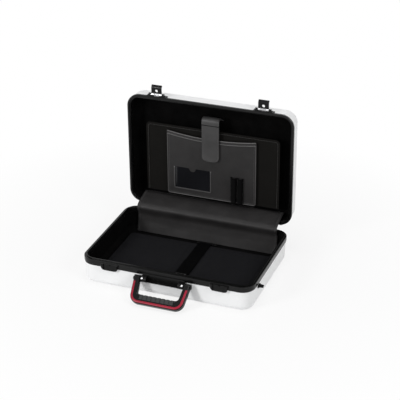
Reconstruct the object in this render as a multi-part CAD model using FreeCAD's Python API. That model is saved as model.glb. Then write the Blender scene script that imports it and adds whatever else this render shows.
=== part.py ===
import FreeCAD, Part
import math
import os

# Hard-shell briefcase lying on its base with the lid standing open.
# Millimetres. X runs along the width, -Y is the handle side, +Z is up.
# The origin is the middle of the underside of the base.

# The case
CASE_WIDTH = 470.0
CASE_DEPTH = 322.0
BASE_HEIGHT = 73.0
LID_HEIGHT = 56.0
CORNER_RADIUS = 36.0
LID_OPEN_ANGLE = 90.0
HINGE_SETBACK = 9.0

# Clearances
FIT_GAP = 0.3
SLOT_GAP = 0.2
INLAY_GAP = 0.08
PIN_GAP = 0.15
OVERRUN = 2.0

# Shells, with draft so that they leave the mould
SHELL_WALL = 2.5
SHELL_INSET = 2.0
SHELL_DRAFT_ANGLE = 2.0
SHELL_EDGE_RADIUS = 16.0
SHELL_INNER_BEVEL = 9.0

# Liners
LINER_WALL = 1.2
LINER_BEVEL = 13.0
LINER_BEVEL_SHARE = 0.6

# Rims
RIM_WIDTH = 9.0
RIM_EDGE_BEVEL = 0.9
BASE_RIM_FACE = 15.0
BASE_RIM_COVER = 4.8
BASE_RIM_STEP_HEIGHT = 4.0
BASE_RIM_STEP_DEPTH = 0.8
LID_RIM_FACE = 6.0
LID_RIM_COVER = 2.5
LID_RIM_SKIRT = 14.0
TONGUE_INSET = 6.0
TONGUE_WIDTH = 2.2
TONGUE_HEIGHT = 3.0
TONGUE_GAP = 0.5

# Floor pad
PAD_SIDE_MARGIN = 22.0
PAD_END_MARGIN = 44.0
PAD_THICKNESS = 12.0
PAD_CORNER_RADIUS = 18.0
PAD_CROWN_EDGE = 11.0
PAD_HEIGHT_SHARES = (0.0, 0.3, 0.62, 0.9, 1.0)
PAD_EDGE_SHARES = (0.25, 0.0, 0.04, 0.35, 1.0)

# Laptop strap, in two halves that overlap on the pad
STRAP_CENTRE_X = 9.0
STRAP_WIDTH = 36.0
STRAP_THICKNESS = 1.8
STRAP_BEND_RADIUS = 4.0
STRAP_LONG_END_MARGIN = 25.0
STRAP_SHORT_END_Y = -6.0
STRAP_STEP_Y = 8.0
STRAP_STEP_RUN = 10.0
STRAP_TUCK = 18.0
STRAP_SIDE_GAP = 0.6

# Strap anchors, bridges riveted over the strap's ends
ANCHOR_WIDTH = 58.0
ANCHOR_LENGTH = 12.0
ANCHOR_ROOF = 2.4
ANCHOR_CORNER_RADIUS = 3.0

# Latch places and receivers
LATCH_FROM_SIDE = 85.0
RECEIVER_WIDTH = 47.0
RECEIVER_TOP_DROP = 2.0
RECEIVER_BOTTOM_DROP = 21.0
RECEIVER_PLATE_OUT = 3.5
RECEIVER_CHEEK_OUT = 7.0
RECEIVER_CHEEK_WIDTH = 7.5
RECEIVER_CORNER_RADIUS = 11.5
RECEIVER_EDGE_BEVEL = 1.8
STUD_RADIUS = 2.7
STUD_HEIGHT = 3.0
STUD_BEVEL = 1.0

# Latch mounts, pins and hasps on the lid
MOUNT_WIDTH = 57.0
MOUNT_PLATE_OUT = 1.8
MOUNT_BACK = 14.0
MOUNT_FRONT = 0.8
MOUNT_EDGE_BEVEL = 1.0
LATCH_PIN_OUT = 5.5
LATCH_PIN_DEPTH = 5.0
LATCH_PIN_RADIUS = 1.4
EAR_WIDTH = 7.0
EAR_RADIUS = 3.6
EAR_SIDE_GAP = 0.5
HASP_WIDTH = 29.0
HASP_LENGTH = 25.5
HASP_THICKNESS = 3.0
HASP_KNUCKLE_RADIUS = 3.3
HASP_KNUCKLE_WINDOW = 15.0
HASP_HOLE_RADIUS = 4.0
HASP_HOLE_REACH = 10.5
HASP_LIP_LENGTH = 7.0
HASP_LIP_ANGLE = 38.0
HASP_BEND_RADIUS = 5.0
HASP_CORNER_RADIUS = 4.0

# Handle bracket
BRACKET_HEIGHT = 26.0
BRACKET_TOP_DROP = 9.0
BRACKET_PLATE_OUT = 4.5
BRACKET_EDGE_BEVEL = 2.0
BRACKET_BOSS_RADIUS = 7.5
BRACKET_BOSS_WIDTH = 15.0
BRACKET_PANEL_DEPTH = 1.2
BRACKET_PANEL_MARGIN = 5.0

# Handle
HANDLE_PIVOT_OUT = 10.0
HANDLE_PIVOT_DROP = 22.0
HANDLE_PIN_RADIUS = 3.0
HANDLE_PIN_CAP_RADIUS = 4.6
HANDLE_PIN_CAP = 1.6
HANDLE_TOP_HALF = 77.0
HANDLE_GRIP_HALF = 71.0
HANDLE_REACH = 67.0
HANDLE_LEG_WIDTH = 15.5
HANDLE_LEG_GAP = 3.0
HANDLE_GRIP_BREADTH = 25.0
HANDLE_THICKNESS = 18.0
HANDLE_CORNER_RADIUS = 24.0
HANDLE_INNER_RADIUS = 9.0
HANDLE_EDGE_RADIUS = 4.5
HANDLE_TABLE_GAP = 0.5
INLAY_BORDER = 1.8
INLAY_WIDTH = 5.7
INLAY_DEPTH = 5.0
INLAY_END = 10.0
GRIP_HALF_LENGTH = 46.0
GRIP_PAD_BREADTH = 14.0
GRIP_RIB_COUNT = 7
GRIP_RIB_PITCH = 12.0
GRIP_GROOVE_WIDTH = 4.5
GRIP_GROOVE_DEPTH = 1.6

# Hinges
HINGE_FROM_SIDE = 85.0
HINGE_WIDTH = 62.0
HINGE_PIN_RADIUS = 2.0
HINGE_KNUCKLE_RADIUS = 4.6
HINGE_KNUCKLE_SHARE = 0.25
HINGE_LEAF_THICKNESS = 2.2
HINGE_LEAF_LENGTH = 30.0
HINGE_LEAF_START = 3.0
HINGE_CORNER_RADIUS = 5.0
HINGE_ARM_THICKNESS = 4.0
HINGE_PIN_HEAD_RADIUS = 3.2
HINGE_PIN_HEAD = 1.5

# Strap lugs
LUG_FROM_FRONT = 63.0
LUG_DROP = 23.0
LUG_REACH = 11.5
LUG_LENGTH = 12.0
LUG_THICKNESS = 4.0
LUG_NOSE_RADIUS = 3.6
LUG_HOLE_RADIUS = 2.0
LUG_HOLE_FROM_NOSE = 4.2
LUG_FLANGE_LENGTH = 15.0
LUG_FLANGE_HEIGHT = 8.0
LUG_FLANGE_OUT = 1.2
LUG_FLANGE_RADIUS = 2.5

# Rear feet, tall enough to stand the closed case on its hinge side
FOOT_FROM_SIDE = 40.0
FOOT_DROP = 34.0
FOOT_LID_DEPTH = 34.0
FOOT_REACH = 15.5
FOOT_ROOT_RADIUS = 9.0
FOOT_TIP_RADIUS = 7.0

# Hinge cover flap
COVER_SIDE_MARGIN = 32.0
COVER_THICKNESS = 1.6
COVER_LID_END = 45.0
COVER_LID_RISE = 23.1
COVER_LID_EDGE = -1.0
COVER_RIM_CLEARANCE = 2.0
COVER_FOLD_RISE = 5.0
COVER_BEND_RADIUS = 8.0
COVER_BASE_TOP_DROP = 14.0
COVER_BASE_END_RISE = 1.2
COVER_BASE_END_IN = 20.8
COVER_BASE_WALL_IN = 12.6

# Lid organizer; heights are from the hinge axis and depths from the plane where the rims meet
BOARD_SIDE_MARGIN = 44.0
BOARD_LOW = 42.0
BOARD_TOP_MARGIN = 86.0
BOARD_DEPTH = 25.0
BOARD_THICKNESS = 2.2
BOARD_CORNER_RADIUS = 12.0
BOARD_BINDING = 9.0
BOARD_BINDING_PROUD = 0.6
GUSSET_THICKNESS = 1.2
GUSSET_INSET = 4.0
GUSSET_FOLD = 9.0
GUSSET_BEND_RADIUS = 1.2
POCKET_SIDE_MARGIN = 64.0
POCKET_LOW = 44.0
POCKET_TOP_DROP = 13.0
POCKET_DIP = 11.0
POCKET_PANEL_DEPTH = 17.0
POCKET_PANEL_THICKNESS = 1.6
POCKET_CORNER_RADIUS = 6.0
POCKET_GUSSET_WIDTH = 3.0
CARD_FROM_SIDE = 22.0
CARD_WIDTH_SHARE = 0.4
CARD_HEIGHT_SHARE = 0.33
CARD_LOW_SHARE = 0.112
CARD_THICKNESS = 1.2
CARD_CORNER_RADIUS = 3.0
CARD_NOTCH_RADIUS = 10.0
SLEEVE_FROM_SIDE = 61.0
SLEEVE_PITCH = 18.0
SLEEVE_COUNT = 2
SLEEVE_BORE_RADIUS = 5.8
SLEEVE_WALL = 1.2
SLEEVE_FLANGE = 4.0
SLEEVE_LOW = 46.0
SLEEVE_HIGH = 122.0

# Closing tab
TAB_WIDTH = 49.0
TAB_THICKNESS = 2.4
TAB_ROOT_DROP = 62.0
TAB_BEND_RISE = 20.0
TAB_BEND_DEPTH = 12.9
TAB_DROP = 109.0
TAB_LOW_DEPTH = 12.6
TAB_BEND_RADIUS = 12.0
TAB_CORNER_RADIUS = 14.0
TAB_ROOT_BARREL = 2.0
TAB_ANCHOR_HEIGHT = 22.0
TAB_ANCHOR_OVERHANG = 3.0
TAB_ANCHOR_THICKNESS = 2.0
TAB_ANCHOR_RADIUS = 3.0
FASTENER_WIDTH = 32.0
FASTENER_HEIGHT = 22.0
FASTENER_THICKNESS = 1.1
FASTENER_FROM_END = 8.0

# Places worked out from the sizes above
FRONT_Y = -CASE_DEPTH / 2
REAR_Y = CASE_DEPTH / 2
SIDE_X = CASE_WIDTH / 2
HINGE_Y = REAR_Y + HINGE_SETBACK
HINGE_Z = BASE_HEIGHT
LATCH_CENTRE_X = SIDE_X - LATCH_FROM_SIDE
HINGE_CENTRE_X = SIDE_X - HINGE_FROM_SIDE
FOOT_X = SIDE_X - FOOT_FROM_SIDE
LUG_Y = FRONT_Y + LUG_FROM_FRONT
COVER_WIDTH = CASE_WIDTH - COVER_SIDE_MARGIN * 2
LEAN = math.tan(math.radians(SHELL_DRAFT_ANGLE))
BASE_SHELL_TOP = BASE_HEIGHT - BASE_RIM_COVER - SLOT_GAP
LID_SHELL_TOP = LID_HEIGHT - LID_RIM_COVER - SLOT_GAP
LINER_INSET = SHELL_INSET + SHELL_WALL + FIT_GAP
LINER_OUT_LEVEL = SHELL_WALL + FIT_GAP
LINER_FACE_LEVEL = LINER_OUT_LEVEL + LINER_WALL
BASE_RIM_LOW = BASE_HEIGHT - BASE_RIM_FACE
LID_BACK_DEPTH = LID_HEIGHT + FIT_GAP - LINER_FACE_LEVEL
LID_EDGE_Z = HINGE_SETBACK + CASE_DEPTH
PAD_LOW = LINER_FACE_LEVEL + FIT_GAP
PAD_HIGH = PAD_LOW + PAD_THICKNESS
PAD_HALF_DEPTH = CASE_DEPTH / 2 - PAD_END_MARGIN
STRAP_FLOOR_Z = LINER_FACE_LEVEL + FIT_GAP + STRAP_THICKNESS / 2
STRAP_PAD_Z = PAD_HIGH + FIT_GAP + STRAP_THICKNESS / 2
STRAP_LAP_Z = STRAP_PAD_Z + STRAP_THICKNESS + FIT_GAP
STRAP_EDGE_Y = PAD_HALF_DEPTH + FIT_GAP + STRAP_THICKNESS / 2
STRAP_LONG_END_Y = STRAP_LONG_END_MARGIN - PAD_HALF_DEPTH
BRACKET_HALF_WIDTH = HANDLE_TOP_HALF - HANDLE_LEG_WIDTH - HANDLE_LEG_GAP
HANDLE_EYE_RADIUS = HANDLE_THICKNESS / 2
HANDLE_PIVOT_Y = FRONT_Y - HANDLE_PIVOT_OUT
HANDLE_PIVOT_Z = BASE_HEIGHT - HANDLE_PIVOT_DROP
LATCH_PIN_Z = LID_EDGE_Z + LATCH_PIN_OUT
TAB_ROOT_DEPTH = LID_BACK_DEPTH - TAB_ANCHOR_THICKNESS - FIT_GAP - TAB_ROOT_BARREL
BOARD_WIDTH = CASE_WIDTH - BOARD_SIDE_MARGIN * 2
BOARD_HIGH = LID_EDGE_Z - BOARD_TOP_MARGIN
POCKET_WIDTH = BOARD_WIDTH - POCKET_SIDE_MARGIN * 2
POCKET_HIGH = BOARD_HIGH - POCKET_TOP_DROP
POCKET_PANEL_BACK = POCKET_PANEL_DEPTH + POCKET_PANEL_THICKNESS
CARD_LEFT = CARD_FROM_SIDE - POCKET_WIDTH / 2
CARD_WIDTH = POCKET_WIDTH * CARD_WIDTH_SHARE
CARD_LOW = POCKET_LOW + (POCKET_HIGH - POCKET_LOW) * CARD_LOW_SHARE
CARD_HEIGHT = (POCKET_HIGH - POCKET_LOW) * CARD_HEIGHT_SHARE
SLEEVE_FIRST_X = POCKET_WIDTH / 2 - SLEEVE_FROM_SIDE
TAB_ROOT_HIGH = LID_EDGE_Z - TAB_ROOT_DROP
TAB_BEND_HIGH = TAB_ROOT_HIGH + TAB_BEND_RISE
TAB_LOW = TAB_ROOT_HIGH - TAB_DROP

PIECES = {}


def vector(x, y, z):
    """Return a point or a direction."""
    return FreeCAD.Vector(x, y, z)


def rounded_wire(points, radii, closed=True):
    """Return a flat wire through points (x, y), each corner rounded by its own radius."""
    corners = [vector(x, y, 0) for x, y in points]
    edges = []
    count = len(corners)
    starts = []
    ends = []
    middles = []
    for index, corner in enumerate(corners):
        radius = radii[index]
        at_end = not closed and index in (0, count - 1)
        if radius == 0 or at_end:
            starts.append(corner)
            ends.append(corner)
            middles.append(None)
            continue
        back = (corners[index - 1] - corner).normalize()
        ahead = (corners[(index + 1) % count] - corner).normalize()
        half_angle = back.getAngle(ahead) / 2
        reach = radius / math.tan(half_angle)
        bisector = (back + ahead).normalize()
        centre = corner + bisector * (radius / math.sin(half_angle))
        starts.append(corner + back * reach)
        ends.append(corner + ahead * reach)
        middles.append(centre - bisector * radius)
    for index in range(count):
        if middles[index] is not None:
            edges.append(Part.Arc(starts[index], middles[index], ends[index]).toShape())
        follower = (index + 1) % count
        if follower == 0 and not closed:
            continue
        if ends[index].distanceToPoint(starts[follower]) > Part.Precision.confusion():
            edges.append(Part.LineSegment(ends[index], starts[follower]).toShape())
    return Part.Wire(edges)


def plate_z(points, radii, low, high):
    """Return an upright prism on an outline in X and Y."""
    prism = Part.Face(rounded_wire(points, radii)).extrude(vector(0, 0, high - low))
    prism.translate(vector(0, 0, low))
    return prism


def plate_x(points, radii, left, right):
    """Return a prism along X on an outline in Y and Z."""
    prism = plate_z(points, radii, left, right)
    prism.rotate(vector(0, 0, 0), vector(1, 1, 1), 120)
    return prism


def plate_y(points, radii, near, far):
    """Return a prism along Y on an outline in X and Z."""
    prism = plate_z(points, radii, -far, -near)
    prism.rotate(vector(0, 0, 0), vector(1, 0, 0), 90)
    return prism


def rectangle(left, right, low, high):
    """Return the four corners of a rectangle."""
    return [(left, low), (right, low), (right, high), (left, high)]


def block(left, right, near, far, low, high):
    """Return a box between six planes."""
    return Part.makeBox(right - left, far - near, high - low, vector(left, near, low))


def rod_x(radius, left, right, y, z):
    """Return a round rod along X."""
    return Part.makeCylinder(radius, right - left, vector(left, y, z), vector(1, 0, 0))


def rod_y(radius, near, far, x, z):
    """Return a round rod along Y."""
    return Part.makeCylinder(radius, far - near, vector(x, near, z), vector(0, 1, 0))


def rod_z(radius, low, high, x, y):
    """Return an upright round rod."""
    return Part.makeCylinder(radius, high - low, vector(x, y, low), vector(0, 0, 1))


def side_path(points, radii, shift):
    """Return an open path moved to its left by a distance, with the radii that keep it parallel."""
    moved = []
    turned = []
    last = len(points) - 1
    for index, point in enumerate(points):
        here = vector(point[0], point[1], 0)
        before = points[max(index - 1, 0)] if index else point
        after = points[min(index + 1, last)] if index < last else point
        into = here - vector(before[0], before[1], 0)
        out = vector(after[0], after[1], 0) - here
        if index == 0:
            into = out
        if index == last:
            out = into
        into = vector(into.x, into.y, 0).normalize()
        out = vector(out.x, out.y, 0).normalize()
        left_in = vector(-into.y, into.x, 0)
        left_out = vector(-out.y, out.x, 0)
        spread = 1 + left_in.dot(left_out)
        place = here + (left_in + left_out) * (shift / spread)
        bend = into.x * out.y - into.y * out.x
        moved.append((place.x, place.y))
        turned.append(radii[index] - math.copysign(shift, bend) if radii[index] else 0)
    return moved, turned


def sheet_outline(points, radii, thickness):
    """Return the outline and radii of a sheet of even thickness that follows an open path."""
    left_points, left_radii = side_path(points, radii, thickness / 2)
    right_points, right_radii = side_path(points, radii, -thickness / 2)
    return left_points + right_points[::-1], left_radii + right_radii[::-1]


def sheet_x(points, radii, thickness, left, right):
    """Return a sheet along X that follows a path in Y and Z."""
    outline, corners = sheet_outline(points, radii, thickness)
    return plate_x(outline, corners, left, right)


def edges_on(shape, axis, level):
    """Return the edges that lie in one plane square to an axis."""
    chosen = []
    for edge in shape.Edges:
        box = edge.BoundBox
        low = getattr(box, axis + "Min")
        high = getattr(box, axis + "Max")
        if max(abs(low - level), abs(high - level)) < Part.Precision.approximation():
            chosen.append(edge)
    return chosen


def keep(name, shape):
    """Hold a finished piece under its name."""
    PIECES[name] = shape


# Case halves, made opening upwards with the outer broad face at zero


def plan_wire(inset, level):
    """Return the case's plan, drawn in by an inset, at a level."""
    half_width = CASE_WIDTH / 2 - inset
    half_depth = CASE_DEPTH / 2 - inset
    corners = rectangle(-half_width, half_width, -half_depth, half_depth)
    wire = rounded_wire(corners, [CORNER_RADIUS - inset] * len(corners))
    wire.translate(vector(0, 0, level))
    return wire


def plan_block(inset, low, high):
    """Return a straight-sided block on the case's plan."""
    return Part.Face(plan_wire(inset, low)).extrude(vector(0, 0, high - low))


def plan_ring(outer_inset, inner_inset, low, high):
    """Return a straight-sided ring on the case's plan."""
    core = plan_block(inner_inset, low - OVERRUN, high + OVERRUN)
    return plan_block(outer_inset, low, high).cut(core)


def wall_section(inset, edge_level, low, high, edge, rounded):
    """Return the drafted wall's section, outwards from a corner's centre line, and its corner radii."""
    foot = CORNER_RADIUS - inset - (edge_level - low) * LEAN
    head = CORNER_RADIUS - inset - (edge_level - high) * LEAN
    if rounded:
        return [(0, low), (foot, low), (head, high), (0, high)], [0, edge, 0, 0]
    bevel_out = foot + edge * LEAN
    return [(0, low), (foot - edge, low), (bevel_out, low + edge), (head, high), (0, high)], [0] * 5


def drafted_block(inset, edge_level, low, high, edge, rounded=True):
    """Return a block that narrows downwards by the draft: turned corners, straight walls and a core."""
    section, radii = wall_section(inset, edge_level, low, high, edge, rounded)
    corner_x = CASE_WIDTH / 2 - CORNER_RADIUS
    corner_y = CASE_DEPTH / 2 - CORNER_RADIUS
    solids = [block(-corner_x, corner_x, -corner_y, corner_y, low, high)]
    blade = Part.Face(rounded_wire(section, radii))
    blade.rotate(vector(0, 0, 0), vector(1, 0, 0), 90)
    places = ((corner_x, corner_y), (-corner_x, corner_y), (-corner_x, -corner_y), (corner_x, -corner_y))
    for quarter, place in enumerate(places):
        corner = blade.revolve(vector(0, 0, 0), vector(0, 0, 1), 90)
        corner.rotate(vector(0, 0, 0), vector(0, 0, 1), 90 * quarter)
        corner.translate(vector(place[0], place[1], 0))
        solids.append(corner)
    end_wall = plate_y(section, radii, -corner_y, corner_y)
    side_wall = plate_y(section, radii, -corner_x, corner_x)
    for quarter in range(len(places)):
        wall = (side_wall if quarter % 2 else end_wall).copy()
        wall.translate(vector(corner_y if quarter % 2 else corner_x, 0, 0))
        wall.rotate(vector(0, 0, 0), vector(0, 0, 1), 90 * quarter)
        solids.append(wall)
    return solids[0].multiFuse(solids[1:]).removeSplitter()


def shell_half(edge_level):
    """Return one hollow outer shell, rounded outside and bevelled inside where its walls meet its floor."""
    outside = drafted_block(SHELL_INSET, edge_level, 0, edge_level, SHELL_EDGE_RADIUS)
    inner_inset = SHELL_INSET + SHELL_WALL
    top = edge_level + OVERRUN
    inside = drafted_block(inner_inset, edge_level, SHELL_WALL, top, SHELL_INNER_BEVEL, False)
    return outside.cut(inside)


def liner_half(edge_level, top):
    """Return one inner liner that follows the shell, with a bevel where its walls meet its floor."""
    outside = drafted_block(LINER_INSET, edge_level, LINER_OUT_LEVEL, top, LINER_BEVEL, False)
    inner_inset = LINER_INSET + LINER_WALL
    inner_bevel = LINER_BEVEL - LINER_WALL * LINER_BEVEL_SHARE
    inside = drafted_block(inner_inset, edge_level, LINER_FACE_LEVEL, top + OVERRUN, inner_bevel, False)
    return outside.cut(inside)


def half_envelope(edge_level, height, face):
    """Return the filled outer form of a half, which outside fittings are shaped to."""
    body = drafted_block(SHELL_INSET, edge_level, 0, edge_level, SHELL_EDGE_RADIUS)
    return body.fuse(plan_block(0, height - face, height))


def shell_slot(edge_level, height, face):
    """Return the slot in a rim that takes the shell's edge."""
    outer = SHELL_INSET - SLOT_GAP
    lap = edge_level - (height - face)
    inner = SHELL_INSET + SHELL_WALL + lap * LEAN + SLOT_GAP
    return outer, inner


def rim_base():
    """Return the base rim: a deep face, a slot over the shell's edge and the sealing tongue."""
    outer, inner = shell_slot(BASE_SHELL_TOP, BASE_HEIGHT, BASE_RIM_FACE)
    rim = plan_ring(0, RIM_WIDTH, BASE_RIM_LOW, BASE_HEIGHT)
    rim = rim.makeChamfer(RIM_EDGE_BEVEL, edges_on(rim, "Z", BASE_HEIGHT))
    rim = rim.cut(plan_ring(outer, inner, BASE_RIM_LOW - OVERRUN, BASE_SHELL_TOP + SLOT_GAP))
    step_top = BASE_RIM_LOW + BASE_RIM_STEP_HEIGHT
    rim = rim.cut(plan_ring(-OVERRUN, BASE_RIM_STEP_DEPTH, BASE_RIM_LOW - OVERRUN, step_top))
    tongue_end = TONGUE_INSET + TONGUE_WIDTH
    tongue = plan_ring(TONGUE_INSET, tongue_end, BASE_HEIGHT - BASE_RIM_COVER, BASE_HEIGHT + TONGUE_HEIGHT)
    return rim.fuse(tongue).removeSplitter()


def rim_lid():
    """Return the lid rim: a shallow face, a deep inner skirt and the groove for the tongue."""
    outer, inner = shell_slot(LID_SHELL_TOP, LID_HEIGHT, LID_RIM_SKIRT)
    rim = plan_ring(0, RIM_WIDTH, LID_HEIGHT - LID_RIM_FACE, LID_HEIGHT)
    rim = rim.makeChamfer(RIM_EDGE_BEVEL, edges_on(rim, "Z", LID_HEIGHT))
    rim = rim.cut(plan_ring(outer, inner, LID_HEIGHT - LID_RIM_FACE - OVERRUN, LID_SHELL_TOP + SLOT_GAP))
    skirt = plan_ring(inner, RIM_WIDTH, LID_HEIGHT - LID_RIM_SKIRT, LID_HEIGHT - LID_RIM_FACE)
    rim = rim.fuse(skirt).removeSplitter()
    groove_out = TONGUE_INSET - TONGUE_GAP
    groove_in = TONGUE_INSET + TONGUE_WIDTH + TONGUE_GAP
    groove_low = LID_HEIGHT - TONGUE_HEIGHT - TONGUE_GAP
    return rim.cut(plan_ring(groove_out, groove_in, groove_low, LID_HEIGHT + OVERRUN))


# Frames of the moving parts


def lid_upright(shape):
    """Stand a half on its hinge side in the lid's own frame, a gap behind the plane where the rims meet."""
    stood = shape.copy()
    stood.rotate(vector(0, 0, 0), vector(1, 0, 0), 90)
    stood.translate(vector(0, LID_HEIGHT + FIT_GAP, HINGE_SETBACK + CASE_DEPTH / 2))
    return stood


def place_lid(shape):
    """Move a shape from the lid's own frame, whose origin is the hinge axis, to its open place."""
    placed = shape.copy()
    placed.rotate(vector(0, 0, 0), vector(-1, 0, 0), LID_OPEN_ANGLE - 90)
    placed.translate(vector(0, HINGE_Y, HINGE_Z))
    return placed


def handle_droop():
    """Return the angle below level at which the grip's lower edge meets the table."""
    under = HANDLE_THICKNESS / 2
    reach = math.hypot(HANDLE_REACH, under)
    height = HANDLE_PIVOT_Z - HANDLE_TABLE_GAP
    return math.degrees(math.asin(height / reach) - math.atan2(under, HANDLE_REACH))


def place_handle(shape):
    """Move a shape from the handle's own frame, level and reaching to -Y, to its resting place."""
    placed = shape.copy()
    placed.rotate(vector(0, 0, 0), vector(1, 0, 0), handle_droop())
    placed.translate(vector(0, HANDLE_PIVOT_Y, HANDLE_PIVOT_Z))
    return placed


def mirrored(shape):
    """Return the shape reflected from the right to the left of the case."""
    return shape.mirror(vector(0, 0, 0), vector(1, 0, 0))


# Fittings on the base


def latch_receiver(envelope):
    """Return the right latch receiver: plate, two cheeks, beak-shaped lower corners and the catch stud."""
    left = LATCH_CENTRE_X - RECEIVER_WIDTH / 2
    right = LATCH_CENTRE_X + RECEIVER_WIDTH / 2
    low = BASE_HEIGHT - RECEIVER_BOTTOM_DROP
    high = BASE_HEIGHT - RECEIVER_TOP_DROP
    outline = rectangle(left, right, low, high)
    radii = [RECEIVER_CORNER_RADIUS, RECEIVER_CORNER_RADIUS, 0, 0]
    back = FRONT_Y + RIM_WIDTH
    whole = plate_y(outline, radii, FRONT_Y - RECEIVER_CHEEK_OUT, back)
    whole = whole.makeChamfer(RECEIVER_EDGE_BEVEL, edges_on(whole, "Y", FRONT_Y - RECEIVER_CHEEK_OUT))
    channel_left = left + RECEIVER_CHEEK_WIDTH
    channel_right = right - RECEIVER_CHEEK_WIDTH
    channel_near = FRONT_Y - RECEIVER_CHEEK_OUT - OVERRUN
    channel_far = FRONT_Y - RECEIVER_PLATE_OUT
    channel = rectangle(channel_left, channel_right, low - OVERRUN, high + OVERRUN)
    whole = whole.cut(plate_y(channel, [0] * len(channel), channel_near, channel_far)).cut(envelope)
    stud_z = BASE_HEIGHT + LATCH_PIN_DEPTH - HASP_HOLE_REACH
    stud_near = FRONT_Y - RECEIVER_PLATE_OUT - STUD_HEIGHT
    stud = rod_y(STUD_RADIUS, stud_near, FRONT_Y - RECEIVER_PLATE_OUT, LATCH_CENTRE_X, stud_z)
    stud = stud.makeChamfer(STUD_BEVEL, edges_on(stud, "Y", stud_near))
    return whole.fuse(stud)


def handle_bracket(envelope):
    """Return the bracket plate with its two bearing bosses, the pin bores and a sunk bare panel."""
    high = BASE_HEIGHT - BRACKET_TOP_DROP
    low = high - BRACKET_HEIGHT
    face = FRONT_Y - BRACKET_PLATE_OUT
    back = FRONT_Y + RIM_WIDTH
    half = BRACKET_HALF_WIDTH
    plate = block(-half, half, face, back, low, high)
    plate = plate.makeChamfer(BRACKET_EDGE_BEVEL, edges_on(plate, "Y", face))
    panel_half = half - BRACKET_BOSS_WIDTH - BRACKET_PANEL_MARGIN
    panel_low = low + BRACKET_PANEL_MARGIN
    panel_high = high - BRACKET_PANEL_MARGIN
    panel = rectangle(-panel_half, panel_half, panel_low, panel_high)
    panel_radii = [BRACKET_EDGE_BEVEL] * len(panel)
    plate = plate.cut(plate_y(panel, panel_radii, face - OVERRUN, face + BRACKET_PANEL_DEPTH))
    inner = half - BRACKET_BOSS_WIDTH
    for left, right in ((-half, -inner), (inner, half)):
        boss = rod_x(BRACKET_BOSS_RADIUS, left, right, HANDLE_PIVOT_Y, HANDLE_PIVOT_Z)
        web_low = HANDLE_PIVOT_Z - BRACKET_BOSS_RADIUS
        web_high = HANDLE_PIVOT_Z + BRACKET_BOSS_RADIUS
        boss = boss.fuse(block(left, right, HANDLE_PIVOT_Y, back, web_low, web_high))
        plate = plate.fuse(boss)
    bore = rod_x(HANDLE_PIN_RADIUS + PIN_GAP, -half - OVERRUN, half + OVERRUN, HANDLE_PIVOT_Y, HANDLE_PIVOT_Z)
    return plate.cut(envelope).cut(bore).removeSplitter()


def handle_pin():
    """Return the right handle pin, with a cap on its outer end."""
    inner = BRACKET_HALF_WIDTH - BRACKET_BOSS_WIDTH
    outer = HANDLE_TOP_HALF + FIT_GAP
    pin = rod_x(HANDLE_PIN_RADIUS, inner, outer, HANDLE_PIVOT_Y, HANDLE_PIVOT_Z)
    cap = rod_x(HANDLE_PIN_CAP_RADIUS, outer, outer + HANDLE_PIN_CAP, HANDLE_PIVOT_Y, HANDLE_PIVOT_Z)
    return pin.fuse(cap)


def strap_lug(envelope):
    """Return the right strap lug: a flange on the wall and a pointed eye that stands out from it."""
    level = BASE_HEIGHT - LUG_DROP
    face = SIDE_X + LUG_FLANGE_OUT
    near = LUG_Y - LUG_FLANGE_LENGTH / 2
    far = LUG_Y + LUG_FLANGE_LENGTH / 2
    low = level - LUG_FLANGE_HEIGHT / 2
    high = level + LUG_FLANGE_HEIGHT / 2
    corners = rectangle(near, far, low, high)
    flange = plate_x(corners, [LUG_FLANGE_RADIUS] * len(corners), SIDE_X - RIM_WIDTH, face)
    tip = SIDE_X + LUG_REACH
    half = LUG_LENGTH / 2
    outline = [(SIDE_X - RIM_WIDTH, LUG_Y - half), (face, LUG_Y - half), (tip, LUG_Y - LUG_NOSE_RADIUS)]
    outline += [(tip, LUG_Y + LUG_NOSE_RADIUS), (face, LUG_Y + half), (SIDE_X - RIM_WIDTH, LUG_Y + half)]
    nose = LUG_NOSE_RADIUS / 2
    eye = plate_z(outline, [0, 0, nose, nose, 0, 0], level - LUG_THICKNESS / 2, level + LUG_THICKNESS / 2)
    hole_x = tip - LUG_HOLE_FROM_NOSE
    hole = rod_z(LUG_HOLE_RADIUS, level - LUG_THICKNESS, level + LUG_THICKNESS, hole_x, LUG_Y)
    return flange.fuse(eye).cut(hole).cut(envelope)


# Hinges and rear feet, made in the frame of the hinge axis for the wall of the base that faces +Y


def rear_foot(x, drop, rim_cover):
    """Return one rubber foot, square to the drafted wall and a drop below the plane where the rims meet."""
    wall = -HINGE_SETBACK - SHELL_INSET - (drop - rim_cover - SLOT_GAP) * LEAN
    length = FOOT_REACH - HINGE_SETBACK - wall
    lean = math.radians(SHELL_DRAFT_ANGLE)
    out = vector(0, math.cos(lean), -math.sin(lean))
    return Part.makeCone(FOOT_ROOT_RADIUS, FOOT_TIP_RADIUS, length, vector(x, wall, -drop), out)


def hinge_arm(left, right):
    """Return one knuckle and the arm that carries it out from the top of a leaf."""
    wall = -HINGE_SETBACK
    face = wall + HINGE_LEAF_THICKNESS
    path = [(wall, -HINGE_LEAF_START - HINGE_ARM_THICKNESS), (0, -HINGE_KNUCKLE_RADIUS)]
    path += [(0, 0), (-HINGE_KNUCKLE_RADIUS, 0), (wall, -HINGE_LEAF_START)]
    arm = plate_x(path, [0] * len(path), left, right)
    root = block(left, right, wall, face, -HINGE_LEAF_START - HINGE_LEAF_LENGTH / 2, -HINGE_LEAF_START)
    return arm.fuse(root).fuse(rod_x(HINGE_KNUCKLE_RADIUS, left, right, 0, 0))


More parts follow.
